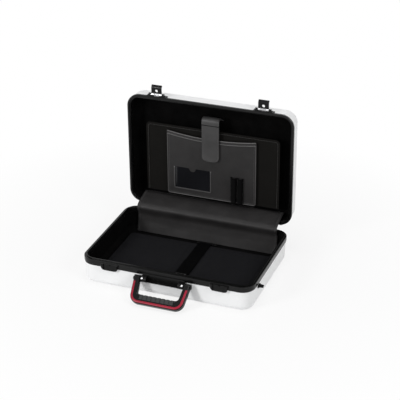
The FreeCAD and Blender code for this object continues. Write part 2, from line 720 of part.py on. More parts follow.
def hinge_leaf(spans):
    """Return a leaf, hanging down the wall from the axis, with knuckles over the given spans of X."""
    wall = -HINGE_SETBACK
    low = -HINGE_LEAF_START - HINGE_LEAF_LENGTH
    left = -HINGE_WIDTH / 2
    right = HINGE_WIDTH / 2
    outline = rectangle(left, right, low, -HINGE_LEAF_START)
    radii = [HINGE_CORNER_RADIUS, HINGE_CORNER_RADIUS, 0, 0]
    leaf = plate_y(outline, radii, wall - RIM_WIDTH, wall + HINGE_LEAF_THICKNESS)
    for start, end in spans:
        leaf = leaf.fuse(hinge_arm(start, end))
    bore = rod_x(HINGE_PIN_RADIUS + PIN_GAP, left - OVERRUN, right + OVERRUN, 0, 0)
    return leaf.cut(bore).removeSplitter()


def hinge_spans():
    """Return the knuckle spans of the base leaf, then of the lid leaf."""
    left = -HINGE_WIDTH / 2
    right = HINGE_WIDTH / 2
    outer = HINGE_WIDTH * HINGE_KNUCKLE_SHARE
    base_spans = [(left, left + outer), (right - outer, right)]
    lid_spans = [(left + outer + FIT_GAP, right - outer - FIT_GAP)]
    return base_spans, lid_spans


def hinge_pin():
    """Return a hinge pin with a head at each end."""
    left = -HINGE_WIDTH / 2 - FIT_GAP
    right = HINGE_WIDTH / 2 + FIT_GAP
    pin = rod_x(HINGE_PIN_RADIUS, left, right, 0, 0)
    pin = pin.fuse(rod_x(HINGE_PIN_HEAD_RADIUS, left - HINGE_PIN_HEAD, left, 0, 0))
    return pin.fuse(rod_x(HINGE_PIN_HEAD_RADIUS, right, right + HINGE_PIN_HEAD, 0, 0))


def flip_to_lid(shape):
    """Turn a hinge piece made for the base's wall to the lid's wall, in the lid's own frame."""
    turned = shape.mirror(vector(0, 0, 0), vector(0, 0, 1))
    turned.rotate(vector(0, 0, 0), vector(1, 0, 0), -90)
    return turned


# Soft pieces in the base


def floor_pad():
    """Return the foam floor pad: sides drawn in below, full in the middle and crowned on top."""
    half_width = CASE_WIDTH / 2 - PAD_SIDE_MARGIN
    sections = []
    for height_share, edge_share in zip(PAD_HEIGHT_SHARES, PAD_EDGE_SHARES):
        inset = PAD_CROWN_EDGE * edge_share
        across = half_width - inset
        along = PAD_HALF_DEPTH - inset
        corners = rectangle(-across, across, -along, along)
        section = rounded_wire(corners, [PAD_CORNER_RADIUS - inset] * len(corners))
        section.translate(vector(0, 0, PAD_LOW + PAD_THICKNESS * height_share))
        sections.append(section)
    return Part.makeLoft(sections, True, True)


def strap_half(points):
    """Return one half of the laptop strap along a path in Y and Z."""
    left = STRAP_CENTRE_X - STRAP_WIDTH / 2
    right = STRAP_CENTRE_X + STRAP_WIDTH / 2
    radii = [0] + [STRAP_BEND_RADIUS] * (len(points) - 2) + [0]
    return sheet_x(points, radii, STRAP_THICKNESS, left, right)


def strap_long():
    """Return the long half, from the rear anchor over the pad and up onto the short half."""
    path = [(STRAP_EDGE_Y + STRAP_TUCK, STRAP_FLOOR_Z), (STRAP_EDGE_Y, STRAP_FLOOR_Z)]
    path += [(STRAP_EDGE_Y, STRAP_PAD_Z), (STRAP_STEP_Y + STRAP_STEP_RUN, STRAP_PAD_Z)]
    path += [(STRAP_STEP_Y, STRAP_LAP_Z), (STRAP_LONG_END_Y, STRAP_LAP_Z)]
    return strap_half(path)


def strap_short():
    """Return the short half, from the front anchor onto the pad."""
    path = [(-STRAP_EDGE_Y - STRAP_TUCK, STRAP_FLOOR_Z), (-STRAP_EDGE_Y, STRAP_FLOOR_Z)]
    path += [(-STRAP_EDGE_Y, STRAP_PAD_Z), (STRAP_SHORT_END_Y, STRAP_PAD_Z)]
    return strap_half(path)


def anchor_middle():
    """Return how far the middle of a strap anchor lies from the middle of the case."""
    return STRAP_EDGE_Y + STRAP_TUCK - ANCHOR_LENGTH / 2


def strap_anchor(side):
    """Return the bridge over one end of the strap; side is 1 at the rear and -1 at the front."""
    middle = anchor_middle() * side
    left = STRAP_CENTRE_X - ANCHOR_WIDTH / 2
    right = STRAP_CENTRE_X + ANCHOR_WIDTH / 2
    low = LINER_FACE_LEVEL
    roof = STRAP_FLOOR_Z + STRAP_THICKNESS / 2 + FIT_GAP
    high = roof + ANCHOR_ROOF
    corners = rectangle(left, right, middle - ANCHOR_LENGTH / 2, middle + ANCHOR_LENGTH / 2)
    bridge = plate_z(corners, [ANCHOR_CORNER_RADIUS] * len(corners), low, high)
    tunnel_left = STRAP_CENTRE_X - STRAP_WIDTH / 2 - STRAP_SIDE_GAP
    tunnel_right = STRAP_CENTRE_X + STRAP_WIDTH / 2 + STRAP_SIDE_GAP
    near = middle - ANCHOR_LENGTH
    far = middle + ANCHOR_LENGTH
    return bridge.cut(block(tunnel_left, tunnel_right, near, far, low - OVERRUN, roof))


def hinge_cover():
    """Return the flap from the lid's rear wall over both rims and down to the edge of the base's floor."""
    lid_low = HINGE_SETBACK + RIM_WIDTH + COVER_RIM_CLEARANCE
    rim_in = REAR_Y - RIM_WIDTH - COVER_RIM_CLEARANCE
    path = [(HINGE_Y + COVER_LID_END, HINGE_Z + COVER_LID_RISE)]
    path.append((HINGE_Y + COVER_LID_EDGE, HINGE_Z + lid_low))
    path.append((rim_in, BASE_HEIGHT + COVER_FOLD_RISE))
    path.append((REAR_Y - COVER_BASE_WALL_IN, BASE_HEIGHT - COVER_BASE_TOP_DROP))
    path.append((REAR_Y - COVER_BASE_END_IN, LINER_FACE_LEVEL + COVER_BASE_END_RISE))
    radii = [0, COVER_BEND_RADIUS, COVER_BEND_RADIUS, COVER_BEND_RADIUS, 0]
    return sheet_x(path, radii, COVER_THICKNESS, -COVER_WIDTH / 2, COVER_WIDTH / 2)


# Handle, made level with its pivot at the origin


def handle_outline(border):
    """Return the outer outline of the handle and its radii, drawn in by a border."""
    top = HANDLE_TOP_HALF - border
    grip = HANDLE_GRIP_HALF - border
    heel = HANDLE_EYE_RADIUS - border
    far = -HANDLE_REACH + border
    points = [(-top, heel), (-grip, far), (grip, far), (top, heel)]
    radius = HANDLE_CORNER_RADIUS - border
    return points, [0, radius, radius, 0]


def handle_opening():
    """Return the hand opening, which runs out past the pivot so that two legs are left."""
    top = HANDLE_TOP_HALF - HANDLE_LEG_WIDTH
    grip = HANDLE_GRIP_HALF - HANDLE_LEG_WIDTH
    near = -HANDLE_REACH + HANDLE_GRIP_BREADTH
    far = HANDLE_EYE_RADIUS + OVERRUN
    points = [(-top, far), (-grip, near), (grip, near), (top, far)]
    radii = [0, HANDLE_INNER_RADIUS, HANDLE_INNER_RADIUS, 0]
    deep = HANDLE_THICKNESS
    return plate_z(points, radii, -deep, deep)


def handle_blank():
    """Return the whole handle form: grip bar, two legs and rounded eyes, all edges softened."""
    half = HANDLE_THICKNESS / 2
    points, radii = handle_outline(0)
    whole = plate_z(points, radii, -half, half).cut(handle_opening())
    soft = []
    for edge in whole.Edges:
        box = edge.BoundBox
        level = box.ZMin == box.ZMax or box.ZLength < Part.Precision.approximation()
        at_heel = box.YMin > HANDLE_EYE_RADIUS - Part.Precision.approximation()
        if level and not at_heel:
            soft.append(edge)
    whole = whole.makeFillet(HANDLE_EDGE_RADIUS, soft)
    side = HANDLE_TOP_HALF + OVERRUN
    round_heel = rod_x(HANDLE_EYE_RADIUS, -side, side, 0, 0)
    front = block(-side, side, -HANDLE_REACH - OVERRUN, 0, -half - OVERRUN, half + OVERRUN)
    whole = whole.common(round_heel.fuse(front))
    bore = rod_x(HANDLE_PIN_RADIUS + PIN_GAP, -side, side, 0, 0)
    return whole.cut(bore)


def inlay_region(gap):
    """Return the U-shaped space that the inlay fills in the upper face, drawn in by a gap."""
    low = HANDLE_THICKNESS / 2 - INLAY_DEPTH + gap
    outer_points, outer_radii = handle_outline(INLAY_BORDER + gap)
    inner_points, inner_radii = handle_outline(INLAY_BORDER + INLAY_WIDTH - gap)
    band = plate_z(outer_points, outer_radii, low, HANDLE_THICKNESS)
    inner = plate_z(inner_points, inner_radii, low - OVERRUN, HANDLE_THICKNESS + OVERRUN)
    side = HANDLE_TOP_HALF + OVERRUN
    end = -INLAY_END - gap
    keep_in = block(-side, side, -HANDLE_REACH, end, low - OVERRUN, HANDLE_THICKNESS + OVERRUN)
    return band.cut(inner).common(keep_in)


def grip_region(gap):
    """Return the space of the soft pad on the inner side of the grip bar, drawn in by a gap."""
    half = GRIP_HALF_LENGTH - gap
    inner_edge = -HANDLE_REACH + HANDLE_GRIP_BREADTH
    near = inner_edge - GRIP_PAD_BREADTH + gap
    tall = HANDLE_THICKNESS
    return block(-half, half, near, inner_edge + OVERRUN, -tall, tall)


def grip_pad(blank):
    """Return the soft grip pad with grooves between its finger ribs."""
    pad = blank.common(grip_region(INLAY_GAP))
    inner_edge = -HANDLE_REACH + HANDLE_GRIP_BREADTH
    core_half = HANDLE_THICKNESS / 2 - GRIP_GROOVE_DEPTH
    near = inner_edge - GRIP_PAD_BREADTH - OVERRUN
    core_edge = inner_edge - GRIP_GROOVE_DEPTH
    core = block(-GRIP_HALF_LENGTH, GRIP_HALF_LENGTH, near, core_edge, -core_half, core_half)
    tall = HANDLE_THICKNESS
    first = -(GRIP_RIB_COUNT - 1) / 2 * GRIP_RIB_PITCH
    for index in range(GRIP_RIB_COUNT):
        middle = first + index * GRIP_RIB_PITCH
        left = middle - GRIP_GROOVE_WIDTH / 2
        right = middle + GRIP_GROOVE_WIDTH / 2
        groove = block(left, right, near, inner_edge + OVERRUN, -tall, tall)
        pad = pad.cut(groove.cut(core))
    return pad


# Lid fittings, in the lid's own frame


def latch_mount(envelope):
    """Return the right latch mount: a plate on the lid's edge with two ears for the pin."""
    left = LATCH_CENTRE_X - MOUNT_WIDTH / 2
    right = LATCH_CENTRE_X + MOUNT_WIDTH / 2
    top = LID_EDGE_Z + MOUNT_PLATE_OUT
    under = LID_EDGE_Z - RIM_WIDTH
    plate = block(left, right, MOUNT_FRONT, MOUNT_BACK, under, top)
    plate = plate.makeChamfer(MOUNT_EDGE_BEVEL, edges_on(plate, "Z", top))
    inner = HASP_WIDTH / 2 + EAR_SIDE_GAP
    for start in (LATCH_CENTRE_X - inner - EAR_WIDTH, LATCH_CENTRE_X + inner):
        end = start + EAR_WIDTH
        barrel = rod_x(EAR_RADIUS, start, end, LATCH_PIN_DEPTH, LATCH_PIN_Z)
        back = LATCH_PIN_DEPTH + EAR_RADIUS
        heel = MOUNT_BACK - MOUNT_EDGE_BEVEL
        toe = [(LATCH_PIN_DEPTH - EAR_RADIUS, LATCH_PIN_Z), (LATCH_PIN_DEPTH - EAR_RADIUS, under)]
        toe += [(heel, under), (heel, top), (back, LATCH_PIN_Z)]
        plate = plate.fuse(barrel).fuse(plate_x(toe, [0] * len(toe), start, end))
    bore = rod_x(LATCH_PIN_RADIUS + PIN_GAP, left, right, LATCH_PIN_DEPTH, LATCH_PIN_Z)
    return plate.cut(envelope).cut(bore).removeSplitter()


def latch_pin():
    """Return the right latch pin, which runs from ear to ear."""
    reach = HASP_WIDTH / 2 + EAR_SIDE_GAP + EAR_WIDTH
    left = LATCH_CENTRE_X - reach
    right = LATCH_CENTRE_X + reach
    return rod_x(LATCH_PIN_RADIUS, left, right, LATCH_PIN_DEPTH, LATCH_PIN_Z)


def latch_hasp():
    """Return the right hasp standing up: knuckle, plate with the catch hole, and a curled finger lip."""
    left = LATCH_CENTRE_X - HASP_WIDTH / 2
    right = LATCH_CENTRE_X + HASP_WIDTH / 2
    lean = math.radians(HASP_LIP_ANGLE)
    bend_z = LATCH_PIN_Z + HASP_LENGTH - HASP_LIP_LENGTH * math.cos(lean)
    lip_y = LATCH_PIN_DEPTH + HASP_LIP_LENGTH * math.sin(lean)
    path = [(LATCH_PIN_DEPTH, LATCH_PIN_Z), (LATCH_PIN_DEPTH, bend_z), (lip_y, LATCH_PIN_Z + HASP_LENGTH)]
    plate = sheet_x(path, [0, HASP_BEND_RADIUS, 0], HASP_THICKNESS, left, right)
    low = LATCH_PIN_Z - HASP_KNUCKLE_RADIUS - OVERRUN
    high = LATCH_PIN_Z + HASP_LENGTH + HASP_THICKNESS
    corners = rectangle(left, right, low, high)
    radii = [0, 0, HASP_CORNER_RADIUS, HASP_CORNER_RADIUS]
    near = LATCH_PIN_DEPTH - HASP_LENGTH
    far = LATCH_PIN_DEPTH + HASP_LENGTH
    plate = plate.common(plate_y(corners, radii, near, far))
    plate = plate.fuse(rod_x(HASP_KNUCKLE_RADIUS, left, right, LATCH_PIN_DEPTH, LATCH_PIN_Z))
    window_left = LATCH_CENTRE_X - HASP_KNUCKLE_WINDOW / 2
    window_right = LATCH_CENTRE_X + HASP_KNUCKLE_WINDOW / 2
    window_high = LATCH_PIN_Z + HASP_KNUCKLE_RADIUS
    window = block(window_left, window_right, near, LATCH_PIN_DEPTH, low, window_high)
    hole = rod_y(HASP_HOLE_RADIUS, near, far, LATCH_CENTRE_X, LATCH_PIN_Z + HASP_HOLE_REACH)
    bore = rod_x(LATCH_PIN_RADIUS + PIN_GAP, left - OVERRUN, right + OVERRUN, LATCH_PIN_DEPTH, LATCH_PIN_Z)
    return plate.cut(window).cut(hole).cut(bore).removeSplitter()


def organizer_board():
    """Return the stiff organizer board with a raised binding round its face."""
    half = BOARD_WIDTH / 2
    corners = rectangle(-half, half, BOARD_LOW, BOARD_HIGH)
    radii = [0, 0, BOARD_CORNER_RADIUS, BOARD_CORNER_RADIUS]
    board = plate_y(corners, radii, BOARD_DEPTH, BOARD_DEPTH + BOARD_THICKNESS)
    inner_half = half - BOARD_BINDING
    face = rectangle(-inner_half, inner_half, BOARD_LOW - OVERRUN, BOARD_HIGH - BOARD_BINDING)
    inner = BOARD_CORNER_RADIUS - BOARD_BINDING
    binding = plate_y(corners, radii, BOARD_DEPTH - BOARD_BINDING_PROUD, BOARD_DEPTH)
    binding = binding.cut(plate_y(face, [0, 0, inner, inner], 0, BOARD_DEPTH + OVERRUN))
    return board.fuse(binding)


def organizer_gusset():
    """Return the right bellows gusset, a folded sheet between the board and the lid's liner."""
    start = BOARD_WIDTH / 2 - GUSSET_INSET
    near = BOARD_DEPTH + BOARD_THICKNESS + FIT_GAP
    far = LID_BACK_DEPTH - FIT_GAP
    fold = start - GUSSET_FOLD
    path = [(start, near), (fold, (near + far) / 2), (start, far)]
    outline, radii = sheet_outline(path, [0, GUSSET_BEND_RADIUS, 0], GUSSET_THICKNESS)
    gusset = plate_z(outline, radii, BOARD_LOW, BOARD_HIGH - BOARD_CORNER_RADIUS)
    between = block(0, BOARD_WIDTH, near, far, 0, LID_EDGE_Z)
    return gusset.common(between)


def organizer_floor():
    """Return the strip that closes the bottom of the compartment behind the board."""
    half = BOARD_WIDTH / 2 - GUSSET_INSET - GUSSET_FOLD - GUSSET_THICKNESS * 2
    near = BOARD_DEPTH + BOARD_THICKNESS + FIT_GAP
    far = LID_BACK_DEPTH - FIT_GAP
    return block(-half, half, near, far, BOARD_LOW, BOARD_LOW + GUSSET_THICKNESS)


def pocket_panel():
    """Return the front panel of the file pocket, whose upper edge dips to the middle."""
    half = POCKET_WIDTH / 2
    corners = rectangle(-half, half, POCKET_LOW, POCKET_HIGH)
    radii = [POCKET_CORNER_RADIUS, POCKET_CORNER_RADIUS, 0, 0]
    panel = plate_y(corners, radii, POCKET_PANEL_DEPTH, POCKET_PANEL_BACK)
    arc_radius = (half ** 2 + POCKET_DIP ** 2) / (2 * POCKET_DIP)
    centre_z = POCKET_HIGH - POCKET_DIP + arc_radius
    return panel.cut(rod_y(arc_radius, 0, LID_HEIGHT, 0, centre_z))


def pocket_gusset():
    """Return the edging that joins the pocket panel to the board along its sides and bottom."""
    half = POCKET_WIDTH / 2
    near = POCKET_PANEL_BACK + FIT_GAP
    far = BOARD_DEPTH - FIT_GAP
    corners = rectangle(-half, half, POCKET_LOW, POCKET_HIGH)
    radii = [POCKET_CORNER_RADIUS, POCKET_CORNER_RADIUS, 0, 0]
    edging = plate_y(corners, radii, near, far)
    inner = half - POCKET_GUSSET_WIDTH
    low = POCKET_LOW + POCKET_GUSSET_WIDTH
    hollow = rectangle(-inner, inner, low, POCKET_HIGH + OVERRUN)
    inner_radius = POCKET_CORNER_RADIUS - POCKET_GUSSET_WIDTH
    return edging.cut(plate_y(hollow, [inner_radius, inner_radius, 0, 0], near - OVERRUN, far + OVERRUN))


def card_pocket():
    """Return the card pocket with a thumb notch in the middle of its upper edge."""
    right = CARD_LEFT + CARD_WIDTH
    high = CARD_LOW + CARD_HEIGHT
    far = POCKET_PANEL_DEPTH - FIT_GAP
    near = far - CARD_THICKNESS
    corners = rectangle(CARD_LEFT, right, CARD_LOW, high)
    pocket = plate_y(corners, [CARD_CORNER_RADIUS] * len(corners), near, far)
    middle = CARD_LEFT + CARD_WIDTH / 2
    return pocket.cut(rod_y(CARD_NOTCH_RADIUS, near - OVERRUN, far + OVERRUN, middle, high))


def pen_sleeves():
    """Return the arched pen sleeves, sewn side by side on the pocket panel."""
    face = POCKET_PANEL_DEPTH - FIT_GAP
    outer = SLEEVE_BORE_RADIUS + SLEEVE_WALL
    last = SLEEVE_FIRST_X + SLEEVE_PITCH * (SLEEVE_COUNT - 1)
    left = SLEEVE_FIRST_X - outer - SLEEVE_FLANGE
    right = last + outer + SLEEVE_FLANGE
    strip = block(left, right, face - SLEEVE_WALL, face, SLEEVE_LOW, SLEEVE_HIGH)
    front = block(left, right, 0, face, SLEEVE_LOW, SLEEVE_HIGH)
    axis_y = face - SLEEVE_BORE_RADIUS / 2
    for index in range(SLEEVE_COUNT):
        middle = SLEEVE_FIRST_X + SLEEVE_PITCH * index
        strip = strip.fuse(rod_z(outer, SLEEVE_LOW, SLEEVE_HIGH, middle, axis_y).common(front))
    for index in range(SLEEVE_COUNT):
        middle = SLEEVE_FIRST_X + SLEEVE_PITCH * index
        bore = rod_z(SLEEVE_BORE_RADIUS, SLEEVE_LOW - OVERRUN, SLEEVE_HIGH + OVERRUN, middle, axis_y)
        strip = strip.cut(bore)
    return strip.removeSplitter()


def pocket_tab():
    """Return the closing tab: a root barrel, a run up and forward to a fold and a long hanging end."""
    path = [(TAB_ROOT_DEPTH, TAB_ROOT_HIGH), (TAB_BEND_DEPTH, TAB_BEND_HIGH), (TAB_LOW_DEPTH, TAB_LOW)]
    half = TAB_WIDTH / 2
    tab = sheet_x(path, [0, TAB_BEND_RADIUS, 0], TAB_THICKNESS, -half, half)
    corners = rectangle(-half, half, TAB_LOW - TAB_THICKNESS, TAB_BEND_HIGH)
    radii = [TAB_CORNER_RADIUS, TAB_CORNER_RADIUS, 0, 0]
    tab = tab.common(plate_y(corners, radii, 0, LID_HEIGHT))
    return tab.fuse(rod_x(TAB_ROOT_BARREL, -half, half, TAB_ROOT_DEPTH, TAB_ROOT_HIGH))


def tab_anchor():
    """Return the plate on the lid's liner that holds the tab's root."""
    half = TAB_WIDTH / 2 + TAB_ANCHOR_OVERHANG
    low = TAB_ROOT_HIGH - TAB_ANCHOR_HEIGHT / 2
    corners = rectangle(-half, half, low, low + TAB_ANCHOR_HEIGHT)
    far = LID_BACK_DEPTH
    return plate_y(corners, [TAB_ANCHOR_RADIUS] * len(corners), far - TAB_ANCHOR_THICKNESS, far)


def fastener_pad(near):
    """Return one hook-and-loop pad whose front face lies at a depth."""
    half = FASTENER_WIDTH / 2
    low = TAB_LOW + FASTENER_FROM_END
    return block(-half, half, near, near + FASTENER_THICKNESS, low, low + FASTENER_HEIGHT)


# Assembly


def make_base():
    """Make every piece fixed to the base."""
    envelope = half_envelope(BASE_SHELL_TOP, BASE_HEIGHT, BASE_RIM_FACE)
    keep("base_shell", shell_half(BASE_SHELL_TOP))
    keep("base_rim", rim_base())
    keep("base_liner", liner_half(BASE_SHELL_TOP, BASE_RIM_LOW - SLOT_GAP))
    keep("floor_pad", floor_pad())
    keep("laptop_strap_long", strap_long())
    keep("laptop_strap_short", strap_short())
    keep("strap_anchor_front", strap_anchor(-1))
    keep("strap_anchor_rear", strap_anchor(1))
    receiver = latch_receiver(envelope)
    keep("latch_receiver_right", receiver)
    keep("latch_receiver_left", mirrored(receiver))
    keep("handle_bracket", handle_bracket(envelope))
    pin = handle_pin()
    keep("handle_pin_right", pin)
    keep("handle_pin_left", mirrored(pin))
    lug = strap_lug(envelope)
    keep("strap_lug_right", lug)
    keep("strap_lug_left", mirrored(lug))
    base_spans = hinge_spans()[0]
    leaf = hinge_leaf(base_spans)
    for name, centre in (("left", -HINGE_CENTRE_X), ("right", HINGE_CENTRE_X)):
        placed = leaf.copy()
        placed.translate(vector(centre, HINGE_Y, HINGE_Z))
        keep("hinge_base_leaf_" + name, placed.cut(envelope))
        axle = hinge_pin()
        axle.translate(vector(centre, HINGE_Y, HINGE_Z))
        keep("hinge_pin_" + name, axle)
    feet = Part.makeCompound([rear_foot(x, FOOT_DROP, BASE_RIM_COVER) for x in (-FOOT_X, FOOT_X)])
    feet.translate(vector(0, HINGE_Y, HINGE_Z))
    keep("rear_feet_base", feet)
    keep("hinge_cover", hinge_cover())


def make_lid():
    """Make every piece that swings with the lid."""
    envelope = lid_upright(half_envelope(LID_SHELL_TOP, LID_HEIGHT, LID_RIM_FACE))
    lid_spans = hinge_spans()[1]
    leaf = flip_to_lid(hinge_leaf(lid_spans))
    for name, centre in (("left", -HINGE_CENTRE_X), ("right", HINGE_CENTRE_X)):
        placed = leaf.copy()
        placed.translate(vector(centre, 0, 0))
        keep("hinge_lid_leaf_" + name, place_lid(placed.cut(envelope)))
    keep("lid_shell", place_lid(lid_upright(shell_half(LID_SHELL_TOP))))
    keep("lid_rim", place_lid(lid_upright(rim_lid())))
    liner = liner_half(LID_SHELL_TOP, LID_HEIGHT - LID_RIM_SKIRT - SLOT_GAP)
    keep("lid_liner", place_lid(lid_upright(liner)))
    feet = [rear_foot(x, FOOT_LID_DEPTH, LID_RIM_COVER + FIT_GAP) for x in (-FOOT_X, FOOT_X)]
    keep("rear_feet_lid", place_lid(flip_to_lid(Part.makeCompound(feet))))
    mount = latch_mount(envelope)
    keep("latch_mount_right", place_lid(mount))
    keep("latch_mount_left", place_lid(mirrored(mount)))
    pin = latch_pin()
    keep("latch_pin_right", place_lid(pin))
    keep("latch_pin_left", place_lid(mirrored(pin)))
    hasp = latch_hasp()
    keep("latch_hasp_right", place_lid(hasp))
    keep("latch_hasp_left", place_lid(mirrored(hasp)))
    keep("organizer_board", place_lid(organizer_board()))
    gusset = organizer_gusset()
    keep("organizer_gusset_right", place_lid(gusset))
    keep("organizer_gusset_left", place_lid(mirrored(gusset)))
    keep("organizer_floor", place_lid(organizer_floor()))
    keep("pocket_panel", place_lid(pocket_panel()))
    keep("pocket_gusset", place_lid(pocket_gusset()))
    keep("card_pocket", place_lid(card_pocket()))
    keep("pen_sleeves", place_lid(pen_sleeves()))
    keep("tab_anchor", place_lid(tab_anchor()))
    loop_near = POCKET_PANEL_DEPTH - FIT_GAP - FASTENER_THICKNESS
    keep("fastener_loop_pad", place_lid(fastener_pad(loop_near)))
    keep("pocket_tab", place_lid(pocket_tab()))
    keep("fastener_hook_pad", place_lid(fastener_pad(loop_near - FIT_GAP - FASTENER_THICKNESS)))


def make_handle():
    """Make the three pieces of the handle."""
    blank = handle_blank()
    frame = blank.cut(inlay_region(0)).cut(grip_region(0))
    keep("handle_frame", place_handle(frame))
    keep("handle_inlay", place_handle(blank.common(inlay_region(INLAY_GAP))))
    keep("handle_grip", place_handle(grip_pad(blank)))


def main():
    """Make the case and write each piece to its own file."""
    make_base()
    make_lid()
    make_handle()
    os.makedirs("parts", exist_ok=True)
    for name, shape in PIECES.items():
        shape.exportStep(os.path.join("parts", name + ".step"))


main()
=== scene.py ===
import math

import bmesh
import bpy
from bpy.props import FloatProperty, FloatVectorProperty, PointerProperty
from mathutils import Matrix, Vector, noise
from mathutils.bvhtree import BVHTree
from mathutils.geometry import interpolate_bezier


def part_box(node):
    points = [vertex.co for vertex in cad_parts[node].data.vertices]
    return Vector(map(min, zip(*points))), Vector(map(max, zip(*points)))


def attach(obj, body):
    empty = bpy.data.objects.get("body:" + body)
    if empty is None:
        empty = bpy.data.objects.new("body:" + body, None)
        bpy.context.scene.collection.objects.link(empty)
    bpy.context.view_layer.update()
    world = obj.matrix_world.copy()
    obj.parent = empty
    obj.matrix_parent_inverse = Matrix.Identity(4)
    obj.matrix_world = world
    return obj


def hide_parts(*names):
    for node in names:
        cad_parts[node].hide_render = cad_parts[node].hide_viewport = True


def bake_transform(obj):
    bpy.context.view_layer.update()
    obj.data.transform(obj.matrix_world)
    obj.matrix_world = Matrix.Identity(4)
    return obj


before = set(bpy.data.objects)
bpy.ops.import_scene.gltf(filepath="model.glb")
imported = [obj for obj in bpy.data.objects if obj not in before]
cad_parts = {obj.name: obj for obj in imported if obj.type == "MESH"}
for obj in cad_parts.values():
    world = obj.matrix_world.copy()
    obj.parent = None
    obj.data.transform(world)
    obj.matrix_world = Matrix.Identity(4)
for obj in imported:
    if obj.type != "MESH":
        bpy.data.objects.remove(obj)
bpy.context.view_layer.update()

bl_info = {
    "name": "Hard-shell briefcase",
    "version": (1, 0, 0),
    "blender": (4, 5, 0),
    "location": "View3D > Sidebar > Briefcase",
    "description": "Dresses the briefcase's solids with finishes, soft linings, stitching and rivets",
    "category": "Object",
}

X_AXIS = Vector((1, 0, 0))
Y_AXIS = Vector((0, 1, 0))
Z_AXIS = Vector((0, 0, 1))
SIDES = (("left", -1), ("right", 1))


# ---- sizes and colours a user may change ----

def colour(name, description, default):
    return FloatVectorProperty(
        name=name, description=description, default=default, size=3, min=0, max=1, subtype="COLOR")


def length(name, description, default):
    return FloatProperty(name=name, description=description, default=default, min=0, unit="LENGTH")


def power(name, description, default):
    return FloatProperty(name=name, description=description, default=default, min=0, unit="POWER")


class BriefcaseColours(bpy.types.PropertyGroup):
    """Colours of the case's finishes"""

    shell: colour("Shell", "Pale moulded shell", (0.85, 0.855, 0.86))
    rim: colour("Rim", "Black moulded frame of each half", (0.004, 0.004, 0.004))
    lining: colour("Lining", "Felted lining of both halves", (0.0028, 0.0027, 0.0027))
    padding: colour("Padding", "Cover of the floor pad", (0.008, 0.008, 0.009))
    webbing: colour("Webbing", "Strap across the floor", (0.0009, 0.0009, 0.0010))
    fittings: colour("Fittings", "Latches, bracket and handle frame", (0.004, 0.004, 0.004))
    steel: colour("Steel", "Pins, rivets and hinge leaves", (0.62, 0.62, 0.63))
    rubber: colour("Rubber", "Grip pad and rear feet", (0.022, 0.023, 0.023))
    leatherette: colour("Leatherette", "Pocket panel and hinge flap", (0.0262, 0.0250, 0.0252))
    tab_leather: colour("Tab leather", "Smooth face of the closing tab", (0.046, 0.045, 0.0452))
    board_cloth: colour("Board cloth", "Cover of the organizer board", (0.0062, 0.0058, 0.0053))
    gusset_cloth: colour("Gusset cloth", "Folding cloth and pen sleeves", (0.0024, 0.0024, 0.0025))
    # partly painted highlight: the piping and card frame are real edging, coloured lighter than the leatherette to
    # stand for light along their edges
    piping: colour("Piping", "Edging of the pocket and card frame", (0.066, 0.064, 0.064))
    # painted highlight: a light colour for thin lines along the top binding's edges, standing for light catching
    # them
    binding_highlight: colour("Binding edge", "Worn edges of the pocket's top binding", (0.150, 0.146, 0.145))
    pocket_vinyl: colour("Pocket vinyl", "Glossy card pocket", (0.0078, 0.0080, 0.0095))
    inlay: colour("Inlay", "Coloured line along the handle", (0.29, 0.006, 0.025))
    thread: colour("Thread", "Sewing thread", (0.090, 0.088, 0.088))


class BriefcaseSizes(bpy.types.PropertyGroup):
    """Sizes of the sewn and riveted details"""

    stitch_pitch: length("Stitch pitch", "Distance from one stitch to the next", 0.0042)
    stitch_length: length("Stitch length", "Length of thread that shows", 0.0030)
    stitch_radius: length("Stitch radius", "Half the thread's thickness", 0.00042)
    rivet_radius: length("Rivet radius", "Half the width of a rivet head", 0.0029)
    rivet_height: length("Rivet height", "How far a rivet head stands up", 0.0011)
    flap_thickness: length("Flap thickness", "Thickness of the hinge flap", 0.0016)
    tab_thickness: length("Tab thickness", "Thickness of the closing tab", 0.0022)
    webbing_thickness: length("Webbing thickness", "Thickness of the strap", 0.0018)
    cloth_thickness: length("Cloth thickness", "Thickness of the folding gussets", 0.0008)
    vinyl_thickness: length("Vinyl thickness", "Thickness of the card pocket", 0.0011)
    card_frame: length("Card frame", "Width of the welt round the card pocket", 0.0034)
    piping_radius: length("Piping radius", "Half the width of the pocket's piping", 0.0015)
    pad_swell: length("Pad swell", "How far the floor pad's cover may bulge", 0.0030)


class BriefcaseStage(bpy.types.PropertyGroup):
    """Camera and lamps"""

    camera_place: FloatVectorProperty(
        name="Camera place", description="Where the camera stands", size=3, subtype="XYZ", unit="LENGTH",
        default=(1.10913, -2.78931, 1.75220))
    lens: FloatProperty(name="Lens", description="Focal length on a 36 mm sensor, in mm", default=117.32, min=1)
    key_power: power("Key", "Power of the lamp on the right", 13)
    top_power: power("Top", "Power of the lamp overhead", 10)
    fill_power: power("Fill", "Power of the lamp in front", 33)
    sky: FloatProperty(name="Sky", description="Strength of the even light all round", default=0.40, min=0)


# ---- shader groups and finishes ----

def feed(tree, socket, value):
    """Link a value to a node's input, or set the input where the value is plain."""
    if isinstance(value, bpy.types.NodeSocket):
        tree.links.new(value, socket)
    else:
        socket.default_value = value


def add(tree, kind, *values, operation=None, **named):
    """Add a shader node and feed its inputs, by place or by name."""
    node = tree.nodes.new("ShaderNode" + kind)
    if operation:
        node.operation = operation
    for socket, value in zip(node.inputs, values):
        feed(tree, socket, value)
    for label, value in named.items():
        feed(tree, node.inputs[label], value)
    return node


def maths(tree, operation, *values):
    """Add a Math node and return its value."""
    return add(tree, "Math", *values, operation=operation).outputs[0]


def spread(tree, value, low, high, out_low=0.0, out_high=1.0):
    """Stretch a value from one range to another with clamped ends."""
    return add(tree, "MapRange", value, low, high, out_low, out_high).outputs[0]


